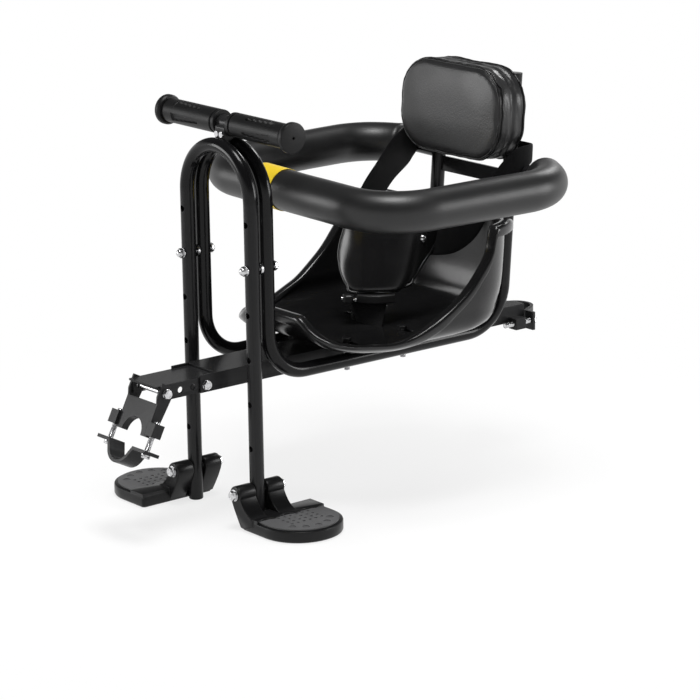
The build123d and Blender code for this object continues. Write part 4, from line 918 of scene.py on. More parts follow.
@dataclass
class GuardRing:
    """Foam sleeve on the guard ring."""

    height: float = 171.5
    roll: float = 0.8
    front_half: float = 148.0
    rear_half: float = 156.0
    depth: float = 244.0
    front_radius: float = 58.0
    rear_radius: float = 63.0
    foam_od: float = 43.0
    foam_end_x: float = 108.5
    tube_od: float = 15.0
    end_round: float = 6.0
    upright_x: float = 57.0
    rear_run: float = 60.0
    step: float = 3.0
    around: int = 56
    lumps: tuple[Point, ...] = ((14.0, 0.35), (45.0, 0.12))
    sink: float = 0.35

    def route(self) -> list[Vector]:
        """Centre line of the foam from its near end to its far end.

        Returns:
            Points along it.
        """
        rear = upright_y(self.height)
        near = [(self.upright_x, rear), (self.rear_half, rear), (self.front_half, rear - self.depth)]
        corners = [mm(x, y, self.height) for x, y in near + [(-x, y) for x, y in reversed(near)]]
        radii = [self.rear_radius, self.front_radius, self.front_radius, self.rear_radius]
        line = rounded_route(corners, [radius * MM for radius in radii], self.step * MM)
        kept = [p for p in line if abs(p.x) > self.foam_end_x * MM or p.y < mm(0, rear - self.rear_run, 0).y]
        middle = mm(0.0, 0.0, self.height)
        tip = Matrix.Rotation(math.radians(self.roll), 3, "Y")
        return [middle + tip @ (p - middle) for p in kept]

    def build(self) -> None:
        """Makes the foam, a little uneven and rounded at its ends."""
        line = self.route()
        ends = [0.0]
        for a, b in zip(line, line[1:]):
            ends.append(ends[-1] + (b - a).length / MM)
        ways = [(line[min(k + 1, len(line) - 1)] - line[max(k - 1, 0)]).normalized() for k in range(len(line))]
        run = [self.ring(point, along, self.foam_od / 2, 1.0) for point, along, done in zip(line, ways, ends)
               if min(done, ends[-1] - done) > self.end_round + 0.5]
        foam = Shape("guard_foam_sleeve")
        foam.rings(self.end(line[0], ways[0], 1.0) + run + self.end(line[-1], ways[-1], -1.0)[::-1], caps=False)
        made = foam.piece(GUARD_FOAM, ("guard_foam",), sharp=60.0)

    def end(self, point: Vector, along: Vector, way: float) -> list[list[Vector]]:
        """Rings of one rounded end, from the tube to the foam's full thickness.

        Args:
            point: Middle of the end.
            along: The foam's direction there.
            way: 1 where the foam starts and -1 where it stops.

        Returns:
            The rings.
        """
        rings = [self.ring(point, along, self.tube_od / 2 + 0.2, 0.0)]
        for k in range(7):
            turn = math.radians(90 * k / 6)
            rings.append(self.ring(point + along * way * self.end_round * (1 - math.cos(turn)) * MM, along,
                                   self.foam_od / 2 - self.end_round + self.end_round * math.sin(turn), 0.3))
        return rings

    def ring(self, point: Vector, along: Vector, radius: float, uneven: float) -> list[Vector]:
        """One ring of the foam's surface.

        Args:
            point: The ring's middle.
            along: The foam's direction there.
            radius: Its radius in millimetres.
            uneven: How much of the foam's unevenness it has.

        Returns:
            The ring's points.
        """
        out = Vector((along.y, -along.x, 0.0)).normalized()
        ring = []
        for c, s in circle(self.around):
            ray = out * c + Vector((0.0, 0.0, 1.0)) * s
            place = point + ray * radius * MM
            soft = sum(noise.noise(place * scale) * size for scale, size in self.lumps)
            ring.append(point + ray * (radius - self.sink * uneven + soft * uneven) * MM)
        return ring


@dataclass
class GrabGrips:
    """Moulded grips on the grab bar."""

    bar_y: float = -383.0
    bar_z: float = 253.0
    inner_x: float = 9.5
    outer_x: float = 105.6
    body_r: float = 12.4
    flange_r: float = 15.4
    flange_length: float = 6.0
    groove_r: float = 11.0
    bore_r: float = 8.1
    slot_length: float = 45.0
    slot_depth: float = 1.9
    slot_wide: float = 8.5
    slot_narrow: float = 2.2
    slots: int = 5
    slot_turn: float = 16.0
    slot_edge: float = 0.5
    slot_end: float = 0.9
    slot_shift: float = 1.5
    around: int = 140

    def build(self) -> None:
        """Makes both grips."""
        for side, name in SIDES:
            grip = Shape(f"{name}_grip_rubber")
            grip.rings([self.ring(side, x, r) for x, r in self.profile()], caps=False)
            grip.piece(GRIP_RUBBER, (f"{name}_grip",), sharp=34.0)

    def profile(self) -> list[tuple[float, float]]:
        """Distances from the middle and radii, from the bore's mouth to the dimple in the end.

        Returns:
            The rings' places.
        """
        flange = self.outer_x - self.flange_length
        steps = [
            (self.inner_x + 1.0, self.bore_r), (self.inner_x, self.bore_r + 0.3), (self.inner_x, self.body_r - 0.6),
            (self.inner_x + 0.6, self.body_r), (self.inner_x + 4.6, self.body_r), (self.inner_x + 5.0, self.groove_r),
            (self.inner_x + 6.6, self.groove_r), (self.inner_x + 7.0, self.body_r - 0.3),
        ]
        x = self.inner_x + 7.6
        while x < flange - 4.4:
            steps.append((x, self.body_r))
            x += 0.75
        steps += [
            (flange - 3.8, self.body_r - 0.2), (flange - 3.4, self.groove_r), (flange - 1.6, self.groove_r),
            (flange - 1.2, self.flange_r - 1.6), (flange, self.flange_r - 0.5), (flange + 1.0, self.flange_r),
            (self.outer_x - 1.2, self.flange_r), (self.outer_x - 0.3, self.flange_r - 0.5),
            (self.outer_x, self.flange_r - 1.4), (self.outer_x, 1.8), (self.outer_x - 0.4, 1.3),
            (self.outer_x - 2.4, 1.1), (self.outer_x - 2.4, 0.05),
        ]
        return steps

    def ring(self, side: float, x: float, radius: float) -> list[Vector]:
        """One ring of a grip, sunk where a slot runs.

        Args:
            side: 1 for the left grip and -1 for the right one.
            x: Distance from the middle of the bar, in millimetres.
            radius: Radius there.

        Returns:
            The ring's points.
        """
        middle = (self.inner_x + self.outer_x) / 2 + self.slot_shift
        share = (x - middle) / self.slot_length + 0.5
        ring = []
        for k in range(self.around):
            angle, reach = math.tau * k / self.around, radius
            if 0.0 < share < 1.0 and radius == self.body_r:
                pitch = math.tau / self.slots
                away = abs((angle - math.radians(self.slot_turn)) % pitch - pitch / 2) * radius
                half = (self.slot_narrow + (self.slot_wide - self.slot_narrow) * share) / 2
                wall = unit((half - away) / self.slot_edge)
                end = unit(min(share, 1 - share) * self.slot_length / self.slot_end)
                reach -= self.slot_depth * wall * end
            ring.append(mm(side * x, self.bar_y + reach * math.cos(angle), self.bar_z + reach * math.sin(angle)))
        return ring


@dataclass
class Footrests:
    """Folding footrests: a rounded plate with a raised, wavy root and two hinge barrels."""

    leg_x: float = 53.0
    leg_y: float = -397.5
    pivot_z: float = -113.0
    inner_x: float = 60.8
    plate_width: float = 82.0
    plate_length: float = 88.0
    plate_shift: float = 17.5
    plate_top: float = -136.0
    thickness: float = 12.0
    corner: float = 43.5
    root_width: float = 22.0
    root_rise: float = 3.0
    wave: float = 2.2
    wave_length: float = 27.0
    barrel_r: float = 9.0
    barrel_from: float = 7.8
    barrel_length: float = 20.0
    web: tuple[tuple[float, float], ...] = (
        (61.6, -116.4), (64.4, -121.0), (68.6, -126.4), (74.0, -131.0), (80.0, -133.6), (80.0, -141.0),
        (68.0, -146.6), (61.0, -146.0), (56.5, -139.0), (50.5, -129.0), (46.0, -120.0))
    web_middle: Point = (57.0, -121.0)
    rim_start: float = 205.0
    rim_sweep: float = 225.0
    rim_steps: int = 28
    corner_steps: int = 24
    root_steps: int = 60
    root_gap: float = 0.3
    inner_corner: float = 3.0

    def at(self, side: float, x: float, y: float, z: float) -> Vector:
        """A point of the left footrest, or of the right one, which is the same part turned half round."""
        return mm(x, y, z) if side > 0 else mm(-x, 2 * self.leg_y - y, z)

    def build(self) -> None:
        """Makes both footrests."""
        for side, name in SIDES:
            rest = Shape(f"{name}_footrest_plate")
            top, bottom = self.plate_top, self.plate_top - self.thickness
            high = top + self.root_rise
            plate = ((bottom, 2.2), (bottom + 0.7, 0.7), (bottom + 2.2, 0.0), (top - 1.4, 0.0), (top - 0.4, 0.4),
                     (top, 1.4))
            root = ((top - 2.0, 0.0), (high - 1.3, 0.0), (high - 0.4, 0.4), (high, 1.4))
            for outline, edges in ((self.plate, plate), (self.root, root)):
                rest.rings([[self.at(side, x, y, z) for x, y in outline(inset)] for z, inset in edges])
            for way in (-1.0, 1.0):
                self.barrel(rest, side, way)
            rest.piece(BLACK_PLASTIC, (f"{name}_footrest",), sharp=40.0, body=f"{name}_footrest")

    def plate(self, inset: float) -> list[tuple[float, float]]:
        """The plate's outline, drawn in by an inset.

        Args:
            inset: How far inside, in millimetres.

        Returns:
            Its points.
        """
        middle = self.leg_y + self.plate_shift
        low, high = middle - self.plate_length / 2 + inset, middle + self.plate_length / 2 - inset
        inner, outer = self.inner_x + inset, self.inner_x + self.plate_width - inset
        walk = []
        for x, y, radius, start in ((outer, low, self.corner - inset, -90.0), (outer, high, self.corner - inset, 0.0),
                                    (inner, high, self.inner_corner, 90.0), (inner, low, self.inner_corner, 180.0)):
            mid_x = x - math.copysign(radius, x - (inner + outer) / 2)
            mid_y = y - math.copysign(radius, y - middle)
            for k in range(self.corner_steps + 1):
                angle = math.radians(start + 90.0 * k / self.corner_steps)
                walk.append((mid_x + radius * math.cos(angle), mid_y + radius * math.sin(angle)))
        return walk

    def root(self, inset: float) -> list[tuple[float, float]]:
        """The raised root's outline with its wavy edge, drawn in by an inset.

        Args:
            inset: How far inside, in millimetres.

        Returns:
            Its points.
        """
        middle = self.leg_y + self.plate_shift
        half = self.plate_length / 2 - self.root_gap - inset
        inner = self.inner_x + self.root_gap + inset
        walk = [(inner, middle + half), (inner, middle - half)]
        for k in range(self.root_steps + 1):
            y = middle - half + 2 * half * k / self.root_steps
            swing = self.wave * math.sin(math.tau * (y - middle) / self.wave_length)
            walk.append((self.inner_x + self.root_width + self.wave + swing - inset, y))
        return walk

    def barrel(self, rest: Shape, side: float, way: float) -> None:
        """Adds one hinge barrel with the web below it.

        Args:
            rest: The footrest's shape.
            side: 1 for the left footrest and -1 for the right one.
            way: -1 for the barrel ahead of the leg and 1 for the one behind it.
        """
        mid_x, mid_z = self.web_middle
        turns = [math.radians(self.rim_start - self.rim_sweep * k / self.rim_steps) for k in range(self.rim_steps + 1)]
        rim = [(self.leg_x + self.barrel_r * math.cos(a), self.pivot_z + self.barrel_r * math.sin(a)) for a in turns]
        start = self.leg_y + way * self.barrel_from
        rings = []
        for run, scale in ((0.0, 0.94), (0.5, 0.98), (1.4, 1.0), (self.barrel_length - 1.4, 1.0),
                           (self.barrel_length - 0.5, 0.98), (self.barrel_length, 0.94)):
            rings.append([self.at(side, mid_x + (x - mid_x) * scale, start + way * run, mid_z + (z - mid_z) * scale)
                          for x, z in [*rim, *self.web]])
        rest.rings(rings)


@dataclass
class Backrest:
    """Padded backrest with a boxed edge, piping and seams."""

    width: float = 160.0
    rise: float = 99.0
    bottom: float = 178.0
    corner: float = 41.0
    shrink: float = 0.8
    voxel: float = 4.0
    pressure: float = 4.0
    cap: float = 2.0
    held_depth: float = 38.0
    layers: tuple[Point, ...] = ((0.0, 4.0), (0.6, 1.2), (3.0, 0.4), (14.0, 0.0), (28.0, 0.0), (36.0, 0.2),
                                 (39.0, 1.2), (40.6, 3.4), (41.2, 9.0), (41.6, 20.0), (41.8, 34.0), (41.8, 46.0))
    folds: tuple[Point, ...] = ((2.2, 0.16, 3.1, 1.5), (6.0, 0.33, 7.7, 0.8))
    seam_depth: float = 20.0
    seam_width: float = 1.6
    seam_sink: float = 1.3
    cords: tuple[Point, ...] = ((39.4, 1.3), (35.0, 0.9), (4.2, 1.3))
    cord_inset: float = -2.0
    cord_lift: float = 0.3
    cord_steps: int = 150
    around: int = 120

    def at(self, across: float, up: float, out: float) -> Vector:
        """A point given from the backrest's leaning plane, in millimetres.

        Args:
            across: Distance from the middle.
            up: Distance up the plane.
            out: Distance in front of it.

        Returns:
            The point.
        """
        rise_dir = Vector((0.0, math.sin(LEAN), math.cos(LEAN)))
        origin = Vector((0.0, upright_y(self.bottom), self.bottom))
        return (origin + Vector((across, 0.0, 0.0)) + rise_dir * up + self.out() * out) * MM

    def outline(self, inset: float, count: int) -> list[tuple[float, float]]:
        """The cushion's outline, walked at even steps.

        Args:
            inset: How far inside the full outline, in millimetres.
            count: Number of points.

        Returns:
            Places across and up.
        """
        half_w, half_h = self.width / 2 - inset, self.rise / 2 - inset
        radius = max(1.0, self.corner - inset)
        flats = (half_h - radius, half_w - radius)
        spans = [span for k in range(4) for span in (2 * flats[k % 2], math.pi / 2 * radius)]
        walk = []
        for k in range(count):
            left, span = sum(spans) * k / count, 0
            while left > spans[span]:
                left -= spans[span]
                span += 1
            turn, on_corner = divmod(span, 2)
            flat, reach = flats[turn % 2], flats[1 - turn % 2]
            x, y = reach + radius, left - flat
            if on_corner:
                x, y = reach + radius * math.cos(left / radius), flat + radius * math.sin(left / radius)
            for _ in range(turn):
                x, y = -y, x
            walk.append((x, y + self.rise / 2))
        return walk

    def build(self) -> None:
        """Makes the pad, blows it up as cloth and sews on its piping."""
        pad = Shape("backrest_pad")
        pad.rings([[self.at(x, y, out) for x, y in self.outline(inset + self.shrink, self.around)]
                   for out, inset in self.layers])
        made = pad.piece(LEATHERETTE, ("backrest_cushion",), sharp=NEVER_SHARP)
        sewn = self.held_depth * MM
        swell(made, self.voxel, self.pressure, self.cap, lambda p: (p - self.at(0, 0, 0)).dot(self.out()) < sewn)
        self.wrinkle(made)
        self.piping(made)

    def out(self) -> Vector:
        """The direction that the backrest faces."""
        return Vector((0.0, -math.cos(LEAN), math.sin(LEAN)))

    def wrinkle(self, made: bpy.types.Object) -> None:
        """Draws the boxed edge into folds that run round the cushion.

        Args:
            made: The pad.
        """
        base = self.at(0, self.rise / 2, 0)
        for point in made.data.vertices:
            away = point.co - base
            depth = away.dot(self.out()) / MM
            side = (away - self.out() * away.dot(self.out())).normalized()
            wall = unit((depth - 2.0) / 4.0) * unit((self.held_depth - depth) / 3.0)
            around = math.atan2(side.z, side.x)
            fold = sum(noise.noise(Vector((around * turn, depth * deep, seed))) * size
                       for turn, deep, seed, size in self.folds)
            seam = -self.seam_sink * math.exp(-((depth - self.seam_depth) / self.seam_width) ** 2)
            point.co += side * (fold + seam) * wall * MM

    def piping(self, made: bpy.types.Object) -> None:
        """Sews the piping along the seams.

        Args:
            made: The pad.
        """
        cord = Shape("backrest_piping")
        for out, radius in self.cords:
            path = []
            for x, y in self.outline(self.cord_inset, self.cord_steps):
                start = self.at(x, y, out)
                found, where, normal, _ = made.closest_point_on_mesh(start)
                path.append(where + normal * self.cord_lift * MM if found else start)
            cord.tube(path, radius, closed=True)
        cord.piece(PIPING, sharp=NEVER_SHARP)


def swell(made: bpy.types.Object, voxel: float, pressure: float, cap: float,
          held: Callable[[Vector], bool]) -> None:
    """Remeshes a pad, blows it up as cloth and smooths it.

    Args:
        made: The pad.
        voxel: Size of the remesh in millimetres.
        pressure: Pressure inside the cloth.
        cap: How far a point may move, in millimetres.
        held: Tells whether a point is sewn down.
    """
    scene = bpy.context.scene
    remesh = made.modifiers.new("even_faces", "REMESH")
    remesh.mode = "VOXEL"
    remesh.voxel_size = voxel * MM
    apply_modifiers(made)
    before = [point.co.copy() for point in made.data.vertices]
    group = made.vertex_groups.new(name="sewn_down")
    group.add([point.index for point in made.data.vertices if held(point.co)], 1.0, "REPLACE")
    cloth = made.modifiers.new("stuffing", "CLOTH")
    cloth.settings.quality = 5
    cloth.settings.use_pressure = True
    cloth.settings.uniform_pressure_force = pressure
    cloth.settings.vertex_group_mass = "sewn_down"
    cloth.settings.effector_weights.gravity = 0.0
    cloth.point_cache.frame_start, cloth.point_cache.frame_end = 1, CLOTH_FRAMES
    for number in range(1, CLOTH_FRAMES + 1):
        scene.frame_set(number)
    shaped = made.evaluated_get(bpy.context.evaluated_depsgraph_get()).to_mesh()
    after = [point.co.copy() for point in shaped.vertices]
    made.modifiers.remove(cloth)
    made.vertex_groups.clear()
    scene.frame_set(1)
    moves = [new - old for old, new in zip(before, after)]
    moves = [move * min(1.0, cap * MM / max(move.length, 1e-9)) for move in moves]
    for point, move in zip(made.data.vertices, evened(made, moves, EVEN_ROUNDS)):
        point.co += move
    finer = made.modifiers.new("finer", "SUBSURF")
    finer.levels = finer.render_levels = 1
    apply_modifiers(made)
    made.data.shade_smooth()


def evened(made: bpy.types.Object, moves: list[Vector], rounds: int) -> list[Vector]:
    """Spreads the points' moves over their neighbours, so that a stretched cover lies smooth.

    Args:
        made: The piece whose points move.
        moves: One move per point.
        rounds: How many times each move is averaged with its neighbours'.

    Returns:
        The evened moves.
    """
    near: list[list[int]] = [[number] for number in range(len(moves))]
    for edge in made.data.edges:
        first, second = edge.vertices
        near[first].append(second)
        near[second].append(first)
    for _ in range(rounds):
        moves = [sum((moves[k] for k in ring), Vector()) / len(ring) for ring in near]
    return moves


def apply_modifiers(made: bpy.types.Object) -> None:
    """Replaces a piece's mesh by what its modifiers give.

    Args:
        made: The piece.
    """
    graph = bpy.context.evaluated_depsgraph_get()
    shaped = bpy.data.meshes.new_from_object(made.evaluated_get(graph))
    materials = list(made.data.materials)
    made.modifiers.clear()
    made.data = shaped
    shaped.materials.clear()
    for material in materials:
        shaped.materials.append(material)


@dataclass
class Harness:
    """Shoulder straps, padded bib, crotch strap and buckle."""

    turn: float = 50.0
    lean: float = 22.0
    lean_turn: float = 24.0
    foot: Point = (4.8, -200.3, 50.0)
    bib_profile: tuple[Point, ...] = ((0.0, 22.5, 22.5), (3.0, 26.5, 26.5), (11.0, 35.0, 35.5), (20.0, 41.0, 41.5),
                                      (30.0, 46.0, 46.5), (46.0, 51.0, 56.0), (56.0, 50.5, 61.0), (70.0, 48.0, 64.0),
                                      (88.0, 46.0, 62.0))
    bib_bow: float = 70.0
    bib_thickness: float = 5.0
    binding_r: float = 1.7
    strap_width: float = 38.0
    strap_thickness: float = 2.4
    crotch_foot: Point = (0.0, -206.0, 12.4)
    buckle_mid: Point = (0.0, -206.0, 43.4)
    bib_rows: int = 44
    bib_around: int = 72
    binding_rows: int = 40
    rivets: tuple[Point, ...] = ((-38.0, 78.0), (42.0, 58.0))
    rivet_profile: tuple[Point, ...] = ((-2.0, 4.0), (0.0, 4.0), (0.9, 3.5), (1.6, 2.3), (1.9, 0.1))
    rivet_out: float = 2.6
    strap_behind: float = -4.2
    strap_edges: tuple[tuple, ...] = (
        ("left",
         (((38.0, -46.0, 182.0), (62.0, -45.6, 182.0), (76.0, -47.0, 180.0), (83.5, -56.0, 177.0),
           (82.0, -71.0, 167.0), (75.6, -79.4, 157.0), (69.0, -86.0, 153.5), (59.0, -96.0, 118.0),
           (49.0, -106.0, 97.0), (34.6, -120.4, 84.0)),
          ((58.0, 42.0), (42.0, 42.0))),
         (((38.0, -46.0, 198.0), (62.0, -45.6, 198.0), (77.0, -46.5, 198.0), (84.0, -57.0, 199.0),
           (82.0, -70.5, 197.0), (77.0, -78.0, 189.0), (70.6, -84.4, 180.0), (60.5, -94.5, 159.0),
           (47.6, -107.4, 134.0), (34.0, -121.0, 118.0)),
          ((62.0, 72.0), (46.0, 72.0)))),
        ("right",
         (((-38.0, -46.0, 182.0), (-62.0, -45.6, 182.0), (-79.0, -47.0, 180.0), (-87.0, -57.0, 176.0),
           (-84.0, -73.0, 165.0), (-81.0, -84.0, 157.0), (-72.0, -112.5, 144.5), (-63.7, -139.7, 125.0),
           (-54.2, -170.5, 104.0)),
          ((-49.0, 40.0), (-36.0, 40.0))),
         (((-38.0, -46.0, 198.0), (-62.0, -45.6, 198.0), (-80.0, -46.5, 200.0), (-88.0, -57.0, 203.0),
           (-84.0, -73.0, 203.0), (-81.0, -84.0, 200.0), (-72.0, -112.5, 190.5), (-63.7, -139.7, 171.0),
           (-54.2, -170.5, 148.0)),
          ((-48.0, 76.0), (-36.0, 76.0)))))

    def across(self) -> Vector:
        """The bib's width direction as it hangs."""
        return Vector((math.cos(math.radians(self.turn)), math.sin(math.radians(self.turn)), 0.0))

    def up(self) -> Vector:
        """The bib's height direction as it leans.

        Returns:
            The direction.
        """
        lean, turn = math.radians(self.lean), math.radians(self.lean_turn)
        back = Vector((-math.sin(turn), math.cos(turn), 0.0))
        return (Vector((0.0, 0.0, math.cos(lean))) + back * math.sin(lean)).normalized()

    def face(self) -> Vector:
        """The direction that the bib's middle faces."""
        return self.across().cross(self.up()).normalized()

    def at(self, x: float, height: float, out: float = 0.0) -> Vector:
        """A point on the bowed bib.

        Args:
            x: Distance from its middle, along its bow.
            height: Distance from its lower edge.
            out: Distance in front of it.

        Returns:
            The point.
        """
        angle = x / self.bib_bow
        reach = self.bib_bow + out
        place = self.across() * math.sin(angle) * reach + self.face() * (math.cos(angle) * reach - self.bib_bow)
        return (Vector(self.foot) + self.up() * height + place) * MM

    def halves(self, height: float) -> tuple[float, float]:
        """The bib's reach to its right and its left at a height.

        Args:
            height: Distance from its lower edge.

        Returns:
            Both reaches.
        """
        for (low, *a), (high, *b) in zip(self.bib_profile, self.bib_profile[1:]):
            if height <= high:
                share = (height - low) / (high - low)
                return a[0] + (b[0] - a[0]) * share, a[1] + (b[1] - a[1]) * share
        return self.bib_profile[-1][1], self.bib_profile[-1][2]

    def build(self) -> None:
        """Makes every piece of the harness."""
        self.bib()
        self.straps()
        self.crotch()
        self.buckle()

    def bib(self) -> None:
        """Makes the padded bib with its bound edge and rivets."""
        rings = []
        top = self.bib_profile[-1][0]
        steps = self.bib_rows
        for row in range(steps + 1):
            height = top * row / steps
            right, left = self.halves(height)
            ends = min(1.0, row / 2.0, (steps - row) / 2.0)
            thick = self.bib_thickness / 2 * (0.35 + 0.65 * math.sqrt(max(0.0, ends)))
            ring = []
            for c, s in circle(self.bib_around):
                x = abs(c) ** 0.45 * (left if c > 0 else -right)
                soft = 0.9 * noise.noise(Vector((x * 0.045, height * 0.03, 1.7)))
                ring.append(self.at(x, height, math.copysign(abs(s) ** 0.6, s) * thick + soft))
            rings.append(ring)
        pad = Shape("harness_bib_pad")
        pad.rings(rings)
        made = pad.piece(LEATHERETTE_SMOOTH, ("harness_bib",), sharp=70.0)
        edge = Shape("harness_bib_binding")
        rows = [top * k / self.binding_rows for k in range(self.binding_rows + 1)]
        loop = [self.at(-self.halves(h)[0], h) for h in reversed(rows)]
        loop += [self.at(self.halves(h)[1], h) for h in rows]
        edge.tube(smooth_line(loop[::4], 5), self.binding_r)
        edge.piece(PIPING, sharp=NEVER_SHARP)
        rivet = Shape("harness_rivets")
        for x, height in self.rivets:
            turned = Matrix.Rotation(x / self.bib_bow, 3, self.up()) @ self.face()
            rivet.turned(self.rivet_profile, self.at(x, height, self.rivet_out), turned)
        rivet.piece(BRIGHT_ZINC)

    def straps(self) -> None:
        """Makes both shoulder straps, from behind the uprights over the seat's rim to the back of the bib."""
        for name, *edges in self.strap_edges:
            low, high = (smooth_line([mm(*p) for p in run] + [self.at(*end, self.strap_behind) for end in ends], 8)
                         for run, ends in edges)
            strap = Shape(f"{name}_shoulder_webbing")
            strap.ribbon(low, high, self.strap_thickness)
            strap.piece(WEBBING, (f"{name}_shoulder_strap",), sharp=50.0)

    def crotch(self) -> None:
        """Makes the short strap between the buckle and the seat's floor."""
        strap = Shape("crotch_webbing")
        foot = mm(*self.crotch_foot)
        line = smooth_line([foot, foot + mm(0, 0, 7.6), foot + mm(0.5, -0.6, 17.6), foot + mm(0, 0, 28.0)], 8)
        reach = [Vector((1, 0, 0)).lerp(self.across(), k / (len(line) - 1)) * self.strap_width / 2 * MM
                 for k in range(len(line))]
        strap.ribbon([p - r for p, r in zip(line, reach)], [p + r for p, r in zip(line, reach)], self.strap_thickness)
        strap.piece(WEBBING, ("crotch_strap",), sharp=50.0)

    def buckle(self) -> None:
        """Makes the faceted buckle with the piece beside it and the pin between them."""
        along = self.across()
        face = along.cross(Vector((0, 0, 1)))
        middle = mm(*self.buckle_mid)
        body = Shape("harness_buckle")
        wide = [(-12.5, -6.5), (-12.5, 3.0), (0.5, 8.0), (13.0, 8.0), (27.0, 3.5), (27.0, -6.5)]
        small = [(-27.5, -5.0), (-27.5, 2.0), (-24.5, 5.5), (-18.0, 5.5), (-15.5, 2.5), (-15.5, -5.0)]
        for plan, half in ((wide, 4.6), (small, 4.2)):
            centre = sum(x for x, _ in plan) / len(plan)
            rings = []
            for height, inset in ((-half, 1.2), (1.0 - half, 0.0), (half - 1.0, 0.0), (half, 1.2)):
                rings.append([middle + (along * (x - math.copysign(inset, x - centre))
                                        + face * (y - math.copysign(inset, y))) * MM + Vector((0, 0, height * MM))
                              for x, y in plan])
            body.rings(rings)
        body.piece(BLACK_PLASTIC, ("buckle",), sharp=25.0)
        pin = Shape("harness_buckle_pin")
        pin.turned([(-1.0, 2.0), (7.0, 2.0), (7.8, 1.2), (8.0, 0.1)], middle + along * -14.0 * MM, face, 20)
        pin.turned([(-29.0, 1.4), (0.0, 1.4)], middle + face * -1.0 * MM, along, 16)
        pin.piece(BRIGHT_ZINC)


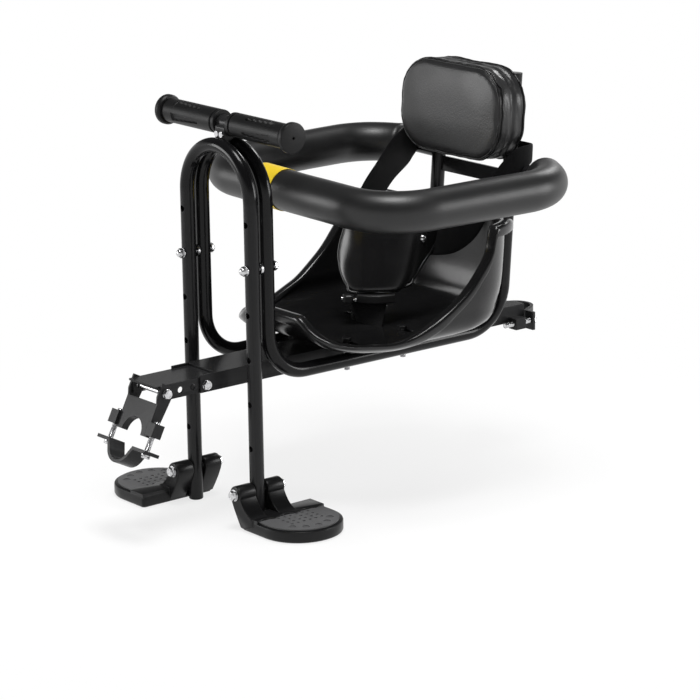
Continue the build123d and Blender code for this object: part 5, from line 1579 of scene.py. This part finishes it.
@dataclass
class Fasteners:
    """Bolts and nuts with chamfered heads, washers and threads."""

    shank_r: float = 3.0
    head_flat: float = 4.4
    head_height: float = 4.0
    nut_height: float = 5.0
    pivot: tuple[float, float, float] = (0.0, -486.3, -1.5)
    tilt: float = 27.0
    washer_share: float = 1.12
    washer_height: float = 0.9
    chamfer_share: float = 0.94
    chamfer: float = 0.7
    dome_share: float = 0.86
    dome_rise: float = 2.5
    dome_turns: Point = (0.0, 0.3, 0.6, 0.9, 1.2, 1.5)
    pitch: float = 1.0
    thread_depth: float = 0.4
    gap: float = 0.05
    leg_xs: Point = (-53.0, 53.0)
    leg_z: float = 115.0
    foot_z: float = -113.0
    rail_ys: Point = (-437.0, -377.0)
    seat_places: tuple[Point, ...] = ((-39.0, -268.0), (39.0, -268.0), (-39.0, -193.0), (39.0, -193.0))

    def bolt(self, shape: Shape, seat: Vector, tip: Vector, plain: float) -> None:
        """Adds one hex bolt.

        Args:
            shape: The piece that it belongs to.
            seat: Middle of the head's seat.
            tip: End of the shank.
            plain: Length of the shank without thread, in millimetres.
        """
        along = tip - seat
        length = along.length / MM
        flat, high, wide = self.head_flat, self.head_height, self.head_flat * self.washer_share
        shape.turned([(-high, self.gap), (-high, flat * 0.55), (-high + 0.25, flat * 0.6), (-high, flat * 0.66),
                      (-high, flat * self.chamfer_share), (-high + self.chamfer, -flat), (-self.washer_height, -flat),
                      (-self.washer_height, wide), (-self.gap, wide), (-self.gap, self.shank_r)], seat, along, 48, 6)
        steps = [(-self.gap, self.shank_r), (min(plain, length), self.shank_r)]
        place = plain
        while place < length - self.pitch:
            steps += [(place + 0.3, self.shank_r - self.thread_depth), (place + 0.75, self.shank_r)]
            place += self.pitch
        steps += [(length - 0.6, self.shank_r - 0.2), (length, self.shank_r - 0.9)]
        shape.turned(steps, seat, along, 24)

    def nut(self, shape: Shape, seat: Vector, away: Vector, domed: bool) -> None:
        """Adds one hex nut.

        Args:
            shape: The piece that it belongs to.
            seat: Middle of the nut's seat.
            away: Direction from the seat.
            domed: Whether a dome closes it.
        """
        flat, high, wide = self.head_flat, self.nut_height, self.head_flat * self.washer_share
        steps = [(0.0, self.shank_r), (0.0, wide), (self.washer_height, wide), (self.washer_height, -flat),
                 (high - self.chamfer, -flat), (high, flat * self.chamfer_share)]
        if domed:
            dome = flat * self.dome_share
            steps += [(high + self.dome_rise * math.sin(a), dome * math.cos(a)) for a in self.dome_turns]
        else:
            steps += [(high, self.shank_r * 1.05), (0.2, self.shank_r * 1.05)]
        shape.turned(steps, seat, away, 48, 6)

    def bolts(self, name: str, ends: Iterable[tuple[Vector, Vector]], plain: float, nodes: Iterable[str] = (),
              body: str = FRAME_BODY, finish: Finish = BRIGHT_ZINC) -> None:
        """Makes one piece of like bolts.

        Args:
            name: The piece's name.
            ends: Middle of the head's seat and end of the shank of each bolt.
            plain: Length of the shanks without thread, in millimetres.
            nodes: CAD nodes that the piece stands for.
            body: The body that it rides on.
            finish: Its finish.
        """
        shape = Shape(name)
        for seat, tip in ends:
            self.bolt(shape, seat, tip, plain)
        shape.piece(finish, nodes, body=body)

    def nuts(self, name: str, seats: Iterable[Vector], away: Point, nodes: Iterable[str], body: str = FRAME_BODY,
             domed: bool = False) -> None:
        """Makes one piece of like nuts.

        Args:
            name: The piece's name.
            seats: Middle of each nut's seat.
            away: Direction from the seats.
            nodes: CAD nodes that the piece stands for.
            body: The body that it rides on.
            domed: Whether a dome closes each nut.
        """
        shape = Shape(name)
        for seat in seats:
            self.nut(shape, seat, Vector(away), domed)
        shape.piece(BRIGHT_ZINC, nodes, body=body)

    def build(self) -> None:
        """Makes every fastener that shows."""
        self.leg_set()
        self.rail_set()
        self.clamp_set()
        self.seat_set()
        self.foot_set()

    def leg_set(self) -> None:
        """Bolts and domed nuts that hold the leg loop to the frame."""
        z = self.leg_z
        self.bolts("leg_loop_bolts", [(mm(x, -371.9, z), mm(x, -409.6, z)) for x in self.leg_xs], plain=30.0,
                   nodes=("leg_bolts",))
        self.nuts("leg_loop_nuts", [mm(x, -405.1, z) for x in self.leg_xs], (0, -1, 0), ("leg_nuts",), domed=True)

    def rail_set(self) -> None:
        """Locking bolts of the rail and the head's pivot."""
        _, pivot_y, z = self.pivot
        self.bolts("rail_lock_bolts", [(mm(25.1, y, z), mm(-30.1, y, z)) for y in self.rail_ys], plain=44.0,
                   nodes=("rail_bolts",))
        self.nuts("rail_lock_nuts", [mm(-25.1, y, z) for y in self.rail_ys], (-1, 0, 0), ("rail_nuts",))
        self.bolts("head_pivot_bolt", [(mm(25.9, pivot_y, z), mm(-30.9, pivot_y, z))], plain=46.0,
                   nodes=("pivot_bolt",), body="front_rail")
        self.nuts("head_pivot_nut", [mm(-25.9, pivot_y, z)], (-1, 0, 0), ("pivot_nut",), body="front_rail")

    def head_point(self, x: float, y: float, z: float) -> Vector:
        """A point given in the tilted clamp head's own frame."""
        turned = Matrix.Rotation(math.radians(-self.tilt), 3, "X") @ Vector((x, y, z))
        return (Vector(self.pivot) + turned) * MM

    def clamp_set(self) -> None:
        """Bolts of both clamps."""
        self.bolts("post_clamp_bolts", [(mm(x, -4.4, -9.0), mm(x, -43.4, -9.0)) for x in (-31.1, 31.1)], plain=4.0,
                   nodes=("rear_jaw_bolts",), body="rear_jaw")
        self.bolts("tube_clamp_bolts", [(self.head_point(x, -3.0, -63.1), self.head_point(x, -3.0, -29.0))
                                        for x in (-31.6, 31.6)], plain=4.0, nodes=("front_jaw_bolts",),
                   body="front_jaw")

    def seat_set(self) -> None:
        """Bolts and nuts of the seat shell."""
        self.bolts("seat_shell_bolts", [(mm(*p, 15.6), mm(*p, 11.0)) for p in self.seat_places], plain=4.0,
                   nodes=("seat_bolts",), finish=BLACK_PLASTIC)
        self.bolts("seat_shell_bolt_tips", [(mm(*p, 8.8), mm(*p, -14.4)) for p in self.seat_places], plain=2.0)
        self.nuts("seat_shell_nuts", [mm(*p, 8.9) for p in self.seat_places], (0, 0, -1), ("seat_nuts",))

    def foot_set(self) -> None:
        """Pivot bolts and nuts of the footrests."""
        z = self.foot_z
        self.bolts("footrest_bolts", [(mm(x, -426.9, z), mm(x, -364.4, z)) for x in self.leg_xs], plain=48.0,
                   nodes=("foot_bolts",))
        self.nuts("footrest_nuts", [mm(x, -369.4, z) for x in self.leg_xs], (0, 1, 0), ("foot_nuts",))


def main() -> None:
    """Builds the scene's classes in order."""
    logging.basicConfig(level=logging.INFO)
    CadDress().build()
    for part in (SeatShell(), GuardRing(), GrabGrips(), Footrests(), Backrest(), Harness(), Fasteners()):
        part.build()
        LOG.info("%s is built", type(part).__name__)
    Studio().build()


if __name__ == "__main__":
    main()
